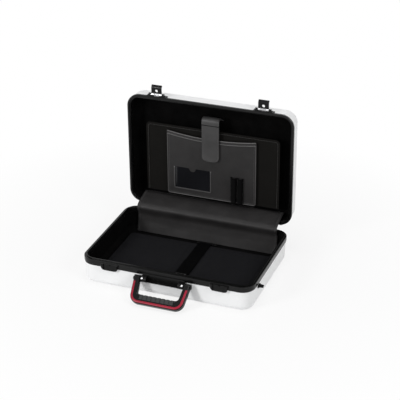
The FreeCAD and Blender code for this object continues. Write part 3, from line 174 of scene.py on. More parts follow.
def mix_colour(tree, factor, first, second):
    """Blend one colour into another and return the result."""
    node = add(tree, "Mix")
    node.data_type = "RGBA"
    for label, value in (("Factor", factor), ("A", first), ("B", second)):
        feed(tree, node.inputs[label], value)
    return node.outputs["Result"]


def new_group(name, outputs=("Height", "Shade")):
    """Start a shader group with a place, a scale and the named outputs."""
    tree = bpy.data.node_groups.new(name, "ShaderNodeTree")
    tree.interface.new_socket(name="Vector", in_out="INPUT", socket_type="NodeSocketVector")
    tree.interface.new_socket(name="Scale", in_out="INPUT", socket_type="NodeSocketFloat").default_value = 100
    for label in outputs:
        tree.interface.new_socket(name=label, in_out="OUTPUT", socket_type="NodeSocketFloat")
    return tree, tree.nodes.new("NodeGroupInput"), tree.nodes.new("NodeGroupOutput")


def give(tree, leave, **outputs):
    """Link values to a group's outputs and return the finished group."""
    for label, value in outputs.items():
        tree.links.new(value, leave.inputs[label])
    return tree


def scaled(tree, entry, factor=1.0):
    """Return the group's place multiplied by its scale and a factor."""
    size = maths(tree, "MULTIPLY", entry.outputs["Scale"], factor)
    return add(tree, "VectorMath", entry.outputs["Vector"], operation="SCALE", Scale=size).outputs[0]


def noise_at(tree, place, detail=3.0, roughness=0.55):
    """Add a noise texture of scale one at a place and return its value."""
    return add(tree, "TexNoise", Vector=place, Scale=1, Detail=detail, Roughness=roughness).outputs["Fac"]


def moulded_grain():
    """Fine pitted surface of a moulding, with faint slow changes of shade."""
    tree, entry, leave = new_group("Moulded grain")
    pits = noise_at(tree, scaled(tree, entry), detail=2.0)
    slow = noise_at(tree, scaled(tree, entry, factor=0.012), detail=2.0)
    return give(tree, leave, Height=pits, Shade=spread(tree, slow, low=0.3, high=0.7))


def leather_grain():
    """Pebbled cells with creases between them, as on embossed leatherette."""
    tree, entry, leave = new_group("Leather grain")
    cells = add(tree, "TexVoronoi", Scale=1, Vector=scaled(tree, entry))
    cells.feature = "DISTANCE_TO_EDGE"
    pebble = spread(tree, cells.outputs["Distance"], low=0.0, high=0.35)
    fine = noise_at(tree, scaled(tree, entry, factor=2.6))
    height = maths(tree, "ADD", pebble, maths(tree, "MULTIPLY", fine, 0.35))
    slow = noise_at(tree, scaled(tree, entry, factor=0.03))
    shade = maths(tree, "ADD", slow, maths(tree, "MULTIPLY", pebble, 0.2))
    return give(tree, leave, Height=height, Shade=spread(tree, shade, low=0.35, high=0.95))


def woven_cloth():
    """Plain weave of two sets of threads."""
    tree, entry, leave = new_group("Woven cloth")
    place = scaled(tree, entry)
    parts = add(tree, "SeparateXYZ", place)
    warp, weft = [maths(tree, "ABSOLUTE", maths(tree, "SINE", parts.outputs[axis])) for axis in (0, 1)]
    turn = add(tree, "TexChecker", Vector=place, Scale=1 / math.pi).outputs["Fac"]
    over = maths(tree, "MULTIPLY", warp, turn)
    under = maths(tree, "MULTIPLY", weft, maths(tree, "SUBTRACT", 1.0, turn))
    height = maths(tree, "ADD", over, under)
    slow = noise_at(tree, scaled(tree, entry, factor=0.02))
    return give(tree, leave, Height=height, Shade=maths(tree, "MULTIPLY_ADD", height, slow))


def brushed_grain():
    """Long fine lines of brushed metal."""
    tree, entry, leave = new_group("Brushed grain")
    stretch = add(tree, "VectorMath", scaled(tree, entry), (0.03, 1.0, 1.0), operation="MULTIPLY")
    lines = noise_at(tree, stretch.outputs[0], detail=4.0)
    return give(tree, leave, Height=lines, Shade=spread(tree, lines, low=0.3, high=0.7))


def handling_marks():
    """Soft patches where hands and dust have changed the gloss."""
    tree, entry, leave = new_group("Handling marks", ("Mask",))
    broad = noise_at(tree, scaled(tree, entry), detail=4.0, roughness=0.6)
    streaks = noise_at(tree, scaled(tree, entry, factor=6.0), detail=2.0)
    mixed = maths(tree, "ADD", maths(tree, "MULTIPLY", broad, 0.75), maths(tree, "MULTIPLY", streaks, 0.25))
    return give(tree, leave, Mask=spread(tree, mixed, low=0.35, high=0.65))


GRAINS = {
    "Moulded grain": moulded_grain,
    "Leather grain": leather_grain,
    "Woven cloth": woven_cloth,
    "Brushed grain": brushed_grain,
    "Handling marks": handling_marks,
}
MARKS_PER_METRE = 14

# finish: grain, grains per metre, relief in metres, roughness, its spread, shade spread, specular level
FINISHES = {
    "shell": ("Moulded grain", 1400, 0.00003, 0.36, 0.05, 0.02, 0.50),
    "rim": ("Moulded grain", 1600, 0.00003, 0.22, 0.06, 0.25, 0.22),
    "lining": ("Moulded grain", 2600, 0.00030, 0.95, 0.04, 0.35, 0.03),
    "padding": ("Woven cloth", 2600, 0.00020, 0.90, 0.05, 0.35, 0.06),
    "webbing": ("Woven cloth", 2000, 0.00035, 0.85, 0.08, 0.40, 0.03),
    "fittings": ("Moulded grain", 900, 0.00002, 0.20, 0.06, 0.25, 0.16),
    "steel": ("Brushed grain", 2500, 0.00002, 0.28, 0.08, 0.12, 0.50),
    "rubber": ("Moulded grain", 1500, 0.00006, 0.42, 0.08, 0.20, 0.30),
    "leatherette": ("Leather grain", 850, 0.00010, 0.48, 0.07, 0.20, 0.18),
    "tab_leather": ("Leather grain", 1300, 0.00006, 0.40, 0.06, 0.15, 0.25),
    "board_cloth": ("Woven cloth", 1800, 0.00014, 0.80, 0.06, 0.30, 0.06),
    "gusset_cloth": ("Woven cloth", 3200, 0.00018, 0.85, 0.05, 0.35, 0.06),
    "pocket_vinyl": ("Moulded grain", 500, 0.00003, 0.14, 0.05, 0.30, 0.22),
    "inlay": ("Moulded grain", 900, 0.00002, 0.30, 0.06, 0.10, 0.30),
    "piping": ("Leather grain", 1500, 0.00005, 0.36, 0.06, 0.15, 0.35),
    "binding_highlight": ("Leather grain", 1500, 0.00005, 0.32, 0.06, 0.20, 0.35),
    "thread": ("Woven cloth", 9000, 0.00010, 0.70, 0.05, 0.30, 0.20),
}
EXTRA_SOCKETS = {
    "shell": {"Coat Weight": 0.15, "Coat Roughness": 0.3},
    "steel": {"Metallic": 1.0},
}


def group_node(tree, name, place, scale):
    """Place a shared shader group in a material, building it the first time."""
    node = add(tree, "Group")
    node.node_tree = bpy.data.node_groups.get(name) or GRAINS[name]()
    feed(tree, node.inputs["Scale"], scale)
    feed(tree, node.inputs["Vector"], place)
    return node


def finish(slot):
    """Return the case's finish of that name, building it the first time."""
    name = "case_" + slot
    if name in bpy.data.materials:
        return bpy.data.materials[name]
    grain, scale, relief, roughness, gloss_spread, shade_spread, specular = FINISHES[slot]
    base = Vector(getattr(bpy.context.scene.briefcase_colours, slot))
    made = bpy.data.materials.new(name)
    made.use_nodes = True
    tree = made.node_tree
    shader = tree.nodes["Principled BSDF"]
    shader.inputs["Specular IOR Level"].default_value = specular
    for socket, value in EXTRA_SOCKETS.get(slot, {}).items():
        shader.inputs[socket].default_value = value
    place = add(tree, "TexCoord").outputs["Object"]
    surface = group_node(tree, grain, place, scale)
    marks = group_node(tree, "Handling marks", place, MARKS_PER_METRE)
    dark = (*(base * (1 - shade_spread)), 1)
    light = (*[min(1, c) for c in base * (1 + shade_spread)], 1)
    feed(tree, shader.inputs["Base Color"], mix_colour(tree, surface.outputs["Shade"], dark, light))
    gloss = spread(tree, marks.outputs["Mask"], 0, 1, roughness - gloss_spread, roughness + gloss_spread)
    feed(tree, shader.inputs["Roughness"], gloss)
    bump = add(tree, "Bump", Distance=relief, Height=surface.outputs["Height"])
    feed(tree, shader.inputs["Normal"], bump.outputs["Normal"])
    return made


KNUCKLE_TOP = 0.4128
KNUCKLE_FADE = 0.0005


def hasp_finish():
    """Return the fittings' finish, worn to bare steel on the knuckle at the hasp's foot."""
    made = finish("fittings").copy()
    made.name = "case_hasp"
    tree = made.node_tree
    shader = tree.nodes["Principled BSDF"]
    black = shader.inputs["Base Color"].links[0].from_socket
    parts = add(tree, "SeparateXYZ", tree.nodes["Texture Coordinate"].outputs["Object"])
    bare = spread(tree, parts.outputs["Z"], KNUCKLE_TOP, KNUCKLE_TOP + KNUCKLE_FADE, out_low=1.0, out_high=0.0)
    steel = (*bpy.context.scene.briefcase_colours.steel, 1)
    feed(tree, shader.inputs["Base Color"], mix_colour(tree, bare, black, steel))
    feed(tree, shader.inputs["Metallic"], bare)
    return made


def dress(*nodes, slot=None):
    """Give solids a finish, or the one that each of their own slots names."""
    for name in nodes:
        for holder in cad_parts[name].material_slots:
            holder.material = finish(slot or holder.material.name)


# ---- shaping ----

NO_LENGTH = 1e-9
SAME_PLACE = 1e-5
CORNER_PULL = 0.6
CORNER_STEPS = 8
RING_STEPS = 10


def levels(low, high, steps):
    """Return evenly spaced numbers from low to high."""
    return [low + (high - low) * index / steps for index in range(steps + 1)]


def clamped(value):
    """Return a value kept between nought and one."""
    return min(max(value, 0), 1)


def near_edge(value, low, high):
    """Return how far a value is inside a range."""
    return min(value - low, high - value)


def ripple(place, scale, seed):
    """Return a smooth wander between about -1 and 1, the same at each run."""
    return noise.noise(Vector(place) * scale + Vector((seed, seed * 1.7, seed * 0.3)))


def reach_of(points):
    """Return the length of a broken line."""
    return sum((after - before).length for before, after in zip(points, points[1:]))


def evenly(points, step):
    """Return points spaced evenly along a broken line, with its ends kept."""
    marks = [0.0]
    for before, after in zip(points, points[1:]):
        marks.append(marks[-1] + (after - before).length)
    spaced = []
    run = 0
    for at in levels(0, marks[-1], max(1, round(marks[-1] / step))):
        while run < len(points) - 2 and marks[run + 1] < at:
            run += 1
        share = (at - marks[run]) / max(marks[run + 1] - marks[run], NO_LENGTH)
        spaced.append(points[run].lerp(points[run + 1], share))
    return spaced


def eased(corners, reach, step):
    """Return points about a step apart along a path whose corners are eased over a reach."""
    corners = [Vector(corner) for corner in corners]
    points = [corners[0]]
    for before, corner, after in zip(corners, corners[1:], corners[2:]):
        entry = corner + (before - corner).normalized() * reach
        leave = corner + (after - corner).normalized() * reach
        pulls = entry.lerp(corner, CORNER_PULL), leave.lerp(corner, CORNER_PULL)
        points += interpolate_bezier(entry, *pulls, leave, CORNER_STEPS)
    points.append(corners[-1])
    return evenly(points, step)


def stations(points, side):
    """Return a placing matrix for each path point: X lies across, Y off the surface, Z along."""
    places = []
    for index, point in enumerate(points):
        ahead = points[min(index + 1, len(points) - 1)] - points[max(index - 1, 0)]
        along = ahead.normalized()
        face = along.cross(side).normalized()
        turn = Matrix((face.cross(along), face, along)).transposed().to_4x4()
        places.append(Matrix.Translation(point) @ turn)
    return places


def moved(*offset):
    """Return a matrix that shifts a place."""
    return Matrix.Translation(offset)


def rising(heights):
    """Return a placing matrix for each height."""
    return [moved(0, 0, height) for height in heights]


def face_out(bm):
    """Turn all faces the same way round."""
    bmesh.ops.recalc_face_normals(bm, faces=bm.faces[:])


def sweep(bm, profile, places, closed=False):
    """Carry a profile along a row of placing matrices by extruding its edges."""
    verts = [bm.verts.new(places[0] @ Vector(point)) for point in profile]
    edges = [bm.edges.new(pair) for pair in zip(verts, verts[1:])]
    if closed:
        edges.append(bm.edges.new((verts[-1], verts[0])))
    first = edges
    for before, after in zip(places, places[1:]):
        made = bmesh.ops.extrude_edge_only(bm, edges=edges)["geom"]
        verts = [item for item in made if isinstance(item, bmesh.types.BMVert)]
        fresh = set(verts)
        edges = [item for item in made
                 if isinstance(item, bmesh.types.BMEdge) and fresh.issuperset(item.verts)]
        bmesh.ops.transform(bm, matrix=after @ before.inverted(), verts=verts)
    if closed:
        bmesh.ops.contextual_create(bm, geom=first)
        bmesh.ops.contextual_create(bm, geom=edges)
    face_out(bm)


def swept(profile, places, closed=False):
    """Return a new shape, a profile carried along a row of placing matrices."""
    bm = bmesh.new()
    sweep(bm, profile, places, closed)
    return bm


def grid_sheet(columns, rows, put):
    """Return a grid whose points, from -0.5 to 0.5 each way, go where a function puts them."""
    bm = bmesh.new()
    bmesh.ops.create_grid(bm, x_segments=columns, y_segments=rows, size=0.5)
    for vert in bm.verts:
        vert.co = put(vert.co.x, vert.co.y)
    face_out(bm)
    return bm


def ring(radius):
    """Return the profile of a round edging."""
    turns = levels(0, 2 * math.pi, RING_STEPS)[:-1]
    return [(radius * math.cos(turn), radius * math.sin(turn), 0) for turn in turns]


def around(left, right, start, turn, depth):
    """Return a path along one side of a panel, across it and back along the other side."""
    return [(x, depth, z) for x, z in ((left, start), (left, turn), (right, turn), (right, start))]


def mesh_of(name, bm):
    """Turn a finished shape into a mesh."""
    mesh = bpy.data.meshes.new(name)
    bm.normal_update()
    bm.to_mesh(mesh)
    bm.free()
    return mesh


def placed(name, data):
    """Add an object to the scene."""
    made = bpy.data.objects.new(name, data)
    bpy.context.scene.collection.objects.link(made)
    return made


def piece(name, bm, slot, body=None, replaces=()):
    """Make a piece of the finished shape, give it its finish and let it ride on a body."""
    mesh = mesh_of(name, bm)
    mesh.shade_smooth()
    made = placed(name, mesh)
    mesh.materials.append(finish(slot))
    if body:
        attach(made, body)
    if replaces:
        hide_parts(*replaces)
    return made


def thread_row(corners, side, reach=0):
    """Return a placing matrix for each thread along a path."""
    return stations(eased(corners, reach, bpy.context.scene.briefcase_sizes.stitch_pitch), side)


def sewn(name, places, body=None):
    """Sew a piece's threads, one at each placing matrix."""
    sizes = bpy.context.scene.briefcase_sizes
    form = Matrix.Diagonal((sizes.stitch_radius, sizes.stitch_radius, sizes.stitch_length / 2, 1))
    bm = bmesh.new()
    for place in places:
        bmesh.ops.create_uvsphere(bm, u_segments=6, v_segments=4, radius=1, matrix=place @ form)
    return piece(name + "_stitching", bm, "thread", body)


def soften(made, width):
    """Round a piece's sharp edges."""
    bevel = made.modifiers.new("Soft edges", "BEVEL")
    bevel.width = width
    bevel.segments = 2
    bevel.limit_method = "ANGLE"
    bevel.angle_limit = math.radians(50)
    bevel.harden_normals = True


def thicken(made, thickness, edge=0.0):
    """Give a surface its thickness and, where asked, softened edges."""
    wall = made.modifiers.new("Thickness", "SOLIDIFY")
    wall.thickness = thickness
    wall.offset = 0
    wall.use_even_offset = True
    if edge:
        soften(made, edge)


def settle(made):
    """Apply a piece's live modifiers to its mesh."""
    graph = bpy.context.evaluated_depsgraph_get()
    mesh = bpy.data.meshes.new_from_object(made.evaluated_get(graph))
    made.modifiers.clear()
    made.data = mesh
    mesh.shade_smooth()


# ---- rigid pieces ----

class BRIEFCASE_OT_shells(bpy.types.Operator):
    """Finish both halves' shells, rims and linings"""

    bl_idname = "briefcase.shells"
    bl_label = "Shells, rims and linings"

    def execute(self, context):
        dress("base_shell", "lid_shell", "base_rim", "lid_rim", "base_liner", "lid_liner")
        return {"FINISHED"}


class BRIEFCASE_OT_fittings(bpy.types.Operator):
    """Finish the latches, hinges, lugs, anchors and feet"""

    bl_idname = "briefcase.fittings"
    bl_label = "Latches, hinges and feet"

    def execute(self, context):
        worn = hasp_finish()
        for side, _ in SIDES:
            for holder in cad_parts["latch_hasp_" + side].material_slots:
                holder.material = worn
            for part in ("latch_receiver_", "latch_mount_", "latch_pin_", "hinge_base_leaf_",
                         "hinge_lid_leaf_", "hinge_pin_", "strap_lug_"):
                dress(part + side)
        dress("strap_anchor_front", "strap_anchor_rear", "rear_feet_base", "rear_feet_lid")
        dress("tab_anchor", slot="lining")
        return {"FINISHED"}


class BRIEFCASE_OT_handle(bpy.types.Operator):
    """Finish the handle, its inlay, its grip and the bracket that carries it"""

    bl_idname = "briefcase.handle"
    bl_label = "Handle and bracket"

    def execute(self, context):
        dress("handle_frame", "handle_inlay", "handle_grip", "handle_bracket")
        dress("handle_pin_left", "handle_pin_right", slot="fittings")
        return {"FINISHED"}


# a head's outline from its middle to its seat, in shares of its radius and height
RIVET_OUTLINE = ((0, 1), (0.45, 0.9), (0.75, 0.6), (0.9, 0.2), (1, 0), (1, -0.5))
LEAF_CENTRE = 0.150
LEAF_RIVETS_ACROSS = (-0.021, 0.021)
BASE_LEAF_BACK = 0.163
BASE_LEAF_RIVETS = (0.046, 0.058)
LID_LEAF_UNDER = 0.080
LID_LEAF_RIVETS = (0.184, 0.196)
BRACKET_RIVET = Vector((0.0546, -0.171, 0.051))
BRACKET_LEAN = Vector((0, -1, 1)).normalized()
ANCHOR_RIVETS_ACROSS = (-0.0145, 0.0325)
ANCHOR_RIVET_ALONG = 0.1302
ANCHOR_TOP = 0.009
SEAT_RAY = 0.2


def rivet_head():
    """Spin a domed head on a thin flange about Z, its seat at the origin."""
    sizes = bpy.context.scene.briefcase_sizes
    bm = bmesh.new()
    verts = [bm.verts.new((share * sizes.rivet_radius, 0, rise * sizes.rivet_height))
             for share, rise in RIVET_OUTLINE]
    edges = [bm.edges.new(pair) for pair in zip(verts, verts[1:])]
    bmesh.ops.spin(bm, geom=verts + edges, cent=(0, 0, 0), axis=Z_AXIS, angle=2 * math.pi, steps=14,
                   use_merge=True)
    bmesh.ops.remove_doubles(bm, verts=bm.verts[:], dist=1e-6)
    face_out(bm)
    return mesh_of("rivet_head", bm)


def seat(node, point, outward):
    """Return where a line from outside meets a solid."""
    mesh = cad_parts[node].data
    tree = BVHTree.FromPolygons([v.co for v in mesh.vertices], [p.vertices for p in mesh.polygons])
    found = tree.ray_cast(Vector(point) + outward * SEAT_RAY, -outward)[0]
    if found is None:
        raise RuntimeError("no surface of " + node + " under a rivet")
    return found


class BRIEFCASE_OT_rivets(bpy.types.Operator):
    """Set rivets in the hinge leaves, strap anchors and handle bracket"""

    bl_idname = "briefcase.rivets"
    bl_label = "Rivets"

    def execute(self, context):
        head = rivet_head()
        base_steel, base_black, lid_steel = [], [], []
        for side, sign in SIDES:
            for off in LEAF_RIVETS_ACROSS:
                x = LEAF_CENTRE * sign + off
                for rise in BASE_LEAF_RIVETS:
                    base_steel.append(("hinge_base_leaf_" + side, (x, BASE_LEAF_BACK, rise), Y_AXIS))
                for depth in LID_LEAF_RIVETS:
                    lid_steel.append(("hinge_lid_leaf_" + side, (x, depth, LID_LEAF_UNDER), -Z_AXIS))
            base_steel.append(("handle_bracket", BRACKET_RIVET * Vector((sign, 1, 1)), BRACKET_LEAN))
        for end, sign in (("front", -1), ("rear", 1)):
            for x in ANCHOR_RIVETS_ACROSS:
                base_black.append(("strap_anchor_" + end, (x, ANCHOR_RIVET_ALONG * sign, ANCHOR_TOP), Z_AXIS))
        for body, slot, places in (("base", "steel", base_steel), ("base", "fittings", base_black),
                                   ("lid", "steel", lid_steel)):
            bm = bmesh.new()
            for node, point, outward in places:
                count = len(bm.verts)
                bm.from_mesh(head)
                bm.verts.ensure_lookup_table()
                turn = Z_AXIS.rotation_difference(outward).to_matrix().to_4x4()
                place = Matrix.Translation(seat(node, point, outward)) @ turn
                bmesh.ops.transform(bm, matrix=place, verts=bm.verts[count:])
            piece("rivets_" + body + "_" + slot, bm, slot, body)
        return {"FINISHED"}


# ---- soft pieces in the base ----

FLAP_HALF = 0.203
FLAP_PATH = ((0, 0.2150, 0.0960), (0, 0.2050, 0.1006), (0, 0.1700, 0.0930), (0, 0.1488, 0.0868),
             (0, 0.1412, 0.0780), (0, 0.1508, 0.0570), (0, 0.1475, 0.0340), (0, 0.1404, 0.0056))
FLAP_EASE = 0.0054
FLAP_STEP = 0.0026
FLAP_COLUMNS = 70
FLAP_INNER = 0.191
FLAP_HEM = 0.007
FLAP_HEM_STEP = 0.0006
FLAP_HEM_RISE = 0.0004
FLAP_THREAD = 0.1976
FLAP_TOP_THREAD = 0.193
FLAP_STILL_SIDE = 0.030
FLAP_FOOT = 0.006
FLAP_STILL_FOOT = 0.020
FLAP_WAVES = ((16, 3.0, 0.0012), (45, 8.0, 0.0004))
FLAP_OUTWARD = Vector((0, -0.6, 0.8))


class BRIEFCASE_OT_flap(bpy.types.Operator):
    """Hang the flap that covers the hinge line from the lid to the floor"""

    bl_idname = "briefcase.flap"
    bl_label = "Hinge flap"

    def execute(self, context):
        sizes = context.scene.briefcase_sizes
        skin = sizes.flap_thickness / 2
        points = eased(FLAP_PATH, FLAP_EASE, FLAP_STEP)
        places = stations(points, X_AXIS)
        edge = [FLAP_HALF - step for step in (0.0, FLAP_HEM_STEP, FLAP_HEM, FLAP_HEM + FLAP_HEM_STEP)]
        columns = [-x for x in edge] + levels(-FLAP_INNER, FLAP_INNER, FLAP_COLUMNS) + edge[::-1]
        bm = swept([(x, 0, 0) for x in columns], places)
        bm.normal_update()
        for vert in bm.verts:
            inside = near_edge(vert.co.x, -FLAP_HALF, FLAP_HALF)
            loose = clamped(inside / FLAP_STILL_SIDE) * clamped((vert.co.z - FLAP_FOOT) / FLAP_STILL_FOOT)
            move = sum(ripple(vert.co, scale, seed) * depth for scale, seed, depth in FLAP_WAVES) * loose
            if inside <= FLAP_HEM + SAME_PLACE:
                move += FLAP_HEM_RISE
            sign = 1 if vert.normal.dot(FLAP_OUTWARD) >= 0 else -1
            vert.co += vert.normal * sign * move
        flap = piece("hinge_flap", bm, "leatherette", replaces=("hinge_cover",))
        thicken(flap, sizes.flap_thickness, edge=0.0005)
        # the wall is applied here, because one made after the bend throws spikes where the flap folds
        settle(flap)
        rows = stations(evenly(points, sizes.stitch_pitch), X_AXIS)[2:-2]
        threads = [moved(x, 0, 0) @ place @ moved(0, skin + 0.0005, 0)
                   for x in (-FLAP_THREAD, FLAP_THREAD) for place in rows]
        top = places[2] @ moved(0, skin + 0.0001, 0)
        threads += thread_row([top @ Vector((x, 0, 0)) for x in (-FLAP_TOP_THREAD, FLAP_TOP_THREAD)], Y_AXIS)
        sewing = sewn("hinge_flap", threads)
        for made in (flap, sewing):
            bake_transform(made)
        return {"FINISHED"}


PAD_VOXEL = 0.005
PAD_PRESSURE = 4
PAD_FRAMES = 20
PAD_SEAM_FROM_EDGE = 0.016
PAD_SEAM_WIDTH = 0.0045
PAD_SEAM_DEPTH = 0.0022
PAD_UNDER_STRAP = 0.0002
PAD_STRAP_EASE = 0.020
PAD_RISE = 0.004


class BRIEFCASE_OT_floor_pad(bpy.types.Operator):
    """Blow up the padded mat on the floor and press it flat under the strap"""

    bl_idname = "briefcase.floor_pad"
    bl_label = "Floor pad"

    def execute(self, context):
        swell = context.scene.briefcase_sizes.pad_swell
        low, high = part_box("floor_pad")
        bm = bmesh.new()
        bm.from_mesh(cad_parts["floor_pad"].data)
        bmesh.ops.remove_doubles(bm, verts=bm.verts[:], dist=SAME_PLACE)
        pad = piece("floor_mat", bm, "padding", "base", ("floor_pad",))
        pad.modifiers.new("Even faces", "REMESH").voxel_size = PAD_VOXEL
        settle(pad)
        rest = [vert.co.copy() for vert in pad.data.vertices]
        filling = pad.modifiers.new("Filling", "CLOTH").settings
        filling.use_pressure = True
        filling.uniform_pressure_force = PAD_PRESSURE
        filling.effector_weights.gravity = 0
        for count in range(1, PAD_FRAMES + 1):
            context.scene.frame_set(count)
        settle(pad)
        context.scene.frame_set(1)
        strap_low, strap_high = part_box("laptop_strap_long")
        for vert, was in zip(pad.data.vertices, rest):
            move = vert.co - was
            if move.length > swell:
                vert.co = was + move.normalized() * swell
            inside = min(near_edge(vert.co.x, low.x, high.x), near_edge(vert.co.y, low.y, high.y))
            groove = math.exp(-((inside - PAD_SEAM_FROM_EDGE) / PAD_SEAM_WIDTH) ** 2) * PAD_SEAM_DEPTH
            if vert.co.z > (low.z + high.z) / 2:
                vert.co.z -= groove
                apart = max(strap_low.x - vert.co.x, vert.co.x - strap_high.x, 0)
                ceiling = high.z - PAD_UNDER_STRAP + clamped(apart / PAD_STRAP_EASE) ** 2 * PAD_RISE
                vert.co.z = min(vert.co.z, ceiling)
            vert.co.z = max(vert.co.z, low.z)
        pad.data.update()
        cover = pad.modifiers.new("Rounded cover", "SUBSURF")
        cover.levels = cover.render_levels = 1
        return {"FINISHED"}


STRAP_CENTRE = 0.009
STRAP_HALF = 0.018
STRAP_LONG = ((0, 0.1360, 0.0052), (0, 0.1205, 0.0056), (0, 0.1150, 0.0176), (0, 0.0180, 0.0176),
              (0, 0.0080, 0.0197), (0, -0.0905, 0.0197), (0, -0.0932, 0.0208), (0, -0.0905, 0.0219),
              (0, -0.0640, 0.0219))
STRAP_SHORT = ((0, -0.1360, 0.0052), (0, -0.1205, 0.0056), (0, -0.1150, 0.0176), (0, -0.0060, 0.0176))
STRAP_EASE = 0.0010
STRAP_STEP = 0.0015
STRAP_COLUMNS = 16
STRAP_BOX_HALF = 0.013
STRAP_BOX_ENDS = (-0.0885, -0.0665)
STRAP_ROW_HALF = 0.016
STRAP_ROWS = (-0.0085, -0.0125)


class BRIEFCASE_OT_strap(bpy.types.Operator):
    """Lay the two halves of the webbing strap across the pad and sew their ends"""

    bl_idname = "briefcase.strap"
    bl_label = "Webbing strap"

    def execute(self, context):
        thickness = context.scene.briefcase_sizes.webbing_thickness
        for name, node, path in (("strap_long", "laptop_strap_long", STRAP_LONG),
                                 ("strap_short", "laptop_strap_short", STRAP_SHORT)):
            points = eased([Vector(p) + X_AXIS * STRAP_CENTRE for p in path], STRAP_EASE, STRAP_STEP)
            across = [(x, 0, 0) for x in levels(-STRAP_HALF, STRAP_HALF, STRAP_COLUMNS)]
            strap = piece(name, swept(across, stations(points, X_AXIS)), "webbing", "base", (node,))
            thicken(strap, thickness, edge=0.0006)
            top = path[-1][2] + thickness / 2
            if name == "strap_long":
                left, right = STRAP_CENTRE - STRAP_BOX_HALF, STRAP_CENTRE + STRAP_BOX_HALF
                front, back = STRAP_BOX_ENDS
                box = [(x, y, top) for x, y in ((left, front), (right, front), (right, back), (left, back))]
                seams = (box + box[:1], box[::2], box[1::2])
            else:
                seams = [[(STRAP_CENTRE + x, y, top) for x in (-STRAP_ROW_HALF, STRAP_ROW_HALF)] for y in STRAP_ROWS]
            sewing = sewn(name, [place for seam in seams for place in thread_row(seam, Z_AXIS, 0.0001)], "base")
        return {"FINISHED"}


# ---- soft pieces in the lid ----

BOARD_THREAD_INSET = 0.0058
BOARD_THREAD_FOOT = 0.004
BOARD_CORNER = 0.008
GUSSET_FOLD = ((0.1868, 0.1978), (0.1782, 0.2098), (0.1868, 0.2218))
GUSSET_EASE = 0.004
GUSSET_STEP = 0.0016
GUSSET_LOW = 0.1152
GUSSET_HEIGHT = 0.1905
GUSSET_ROWS = 60
GUSSET_EDGES = (0.1976, 0.2220)
GUSSET_STILL = 0.008
GUSSET_WAVE = 0.0011


class BRIEFCASE_OT_organizer(bpy.types.Operator):
    """Finish the organizer board and fold its cloth gussets"""

    bl_idname = "briefcase.organizer"
    bl_label = "Organizer board and gussets"

    def execute(self, context):
        thickness = context.scene.briefcase_sizes.cloth_thickness
        dress("organizer_board", slot="board_cloth")
        low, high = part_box("organizer_board")
        side = high.x - BOARD_THREAD_INSET
        foot, head = low.z + BOARD_THREAD_FOOT, high.z - BOARD_THREAD_INSET
        row = around(-side, side, foot, head, low.y - 0.0001)
        sewn("organizer_board", thread_row(row, Y_AXIS, BOARD_CORNER), "lid")
        for side_name, sign in SIDES:
            fold = eased([(x * sign, y, 0) for x, y in GUSSET_FOLD], GUSSET_EASE, GUSSET_STEP)
            bm = swept(fold, rising(levels(GUSSET_LOW, GUSSET_LOW + GUSSET_HEIGHT, GUSSET_ROWS)))
            for vert in bm.verts:
                loose = min(near_edge(vert.co.y, *GUSSET_EDGES) / GUSSET_STILL, 1)
                vert.co.x += ripple(vert.co, 40, 5.0 + sign) * GUSSET_WAVE * loose
            gusset = piece("organizer_gusset_cloth_" + side_name, bm, "gusset_cloth", "lid",
                           ("organizer_gusset_" + side_name,))
            thicken(gusset, thickness)
        low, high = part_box("organizer_floor")

        def put(x, y):
            share = y + 0.5
            wave = (math.sin(share * math.pi) * 0.6 + 0.2) * ripple((x, y, 0), 6, 2.0) * 0.001
            return x * (high.x - low.x), low.y + share * (high.y - low.y), high.z - 0.0005 + wave

        strip = piece("organizer_floor_cloth", grid_sheet(90, 10, put), "gusset_cloth", "lid", ("organizer_floor",))
        thicken(strip, thickness)
        return {"FINISHED"}


PANEL_HALF = 0.127
PANEL_LOW = 0.117
PANEL_HIGH = 0.305
PANEL_DIP = 0.011
PANEL_CORNER = 0.006
PANEL_DEPTH = 0.1878
PANEL_THICKNESS = 0.0014
PANEL_WAVE = 0.00025
PANEL_RIM_COLUMNS = 80
# half of the top binding's section: how far off the panel, and how far above its edge
BINDING = ((0.0015, -0.0085), (0.0016, -0.0005), (0.0011, 0.0008))
BINDING_RISE = 0.0012
# the two painted highlight lines along the binding's top and lower edges: radius, and how far below the panel's edge
BINDING_LINES = ((0.0010, 0.0002), (0.0007, 0.0088))
BINDING_FRONT = 0.0013
BINDING_THREAD_FRONT = 0.0016
BINDING_THREAD_DROP = 0.0062
PIPING_INSET = 0.0006
PIPING_TOP = 0.003
PIPING_STEP = 0.003
PANEL_THREAD_INSET = 0.0045
PANEL_THREAD_FOOT = 0.005
PANEL_THREAD_TOP = 0.014
PANEL_THREAD_CORNER = 0.004
# a pleat's section, in shares of the gusset's half depth, with how far it stands out
PLEAT = ((-1, 0.0002), (-0.6, 0.0011), (0, 0.0020), (0.6, 0.0011), (1, 0.0002))
# the pleats spread wide up the panel's sides; their near-black cloth there is partly folded bellows and partly
# painted shade of the recess between panel and board
PLEAT_SPREAD = 4.6
PLEAT_EASE = 0.030


def panel_top(x):
    """Return the height of the pocket's dipping top edge."""
    return PANEL_HIGH - PANEL_DIP * (1 - (x / PANEL_HALF) ** 2)


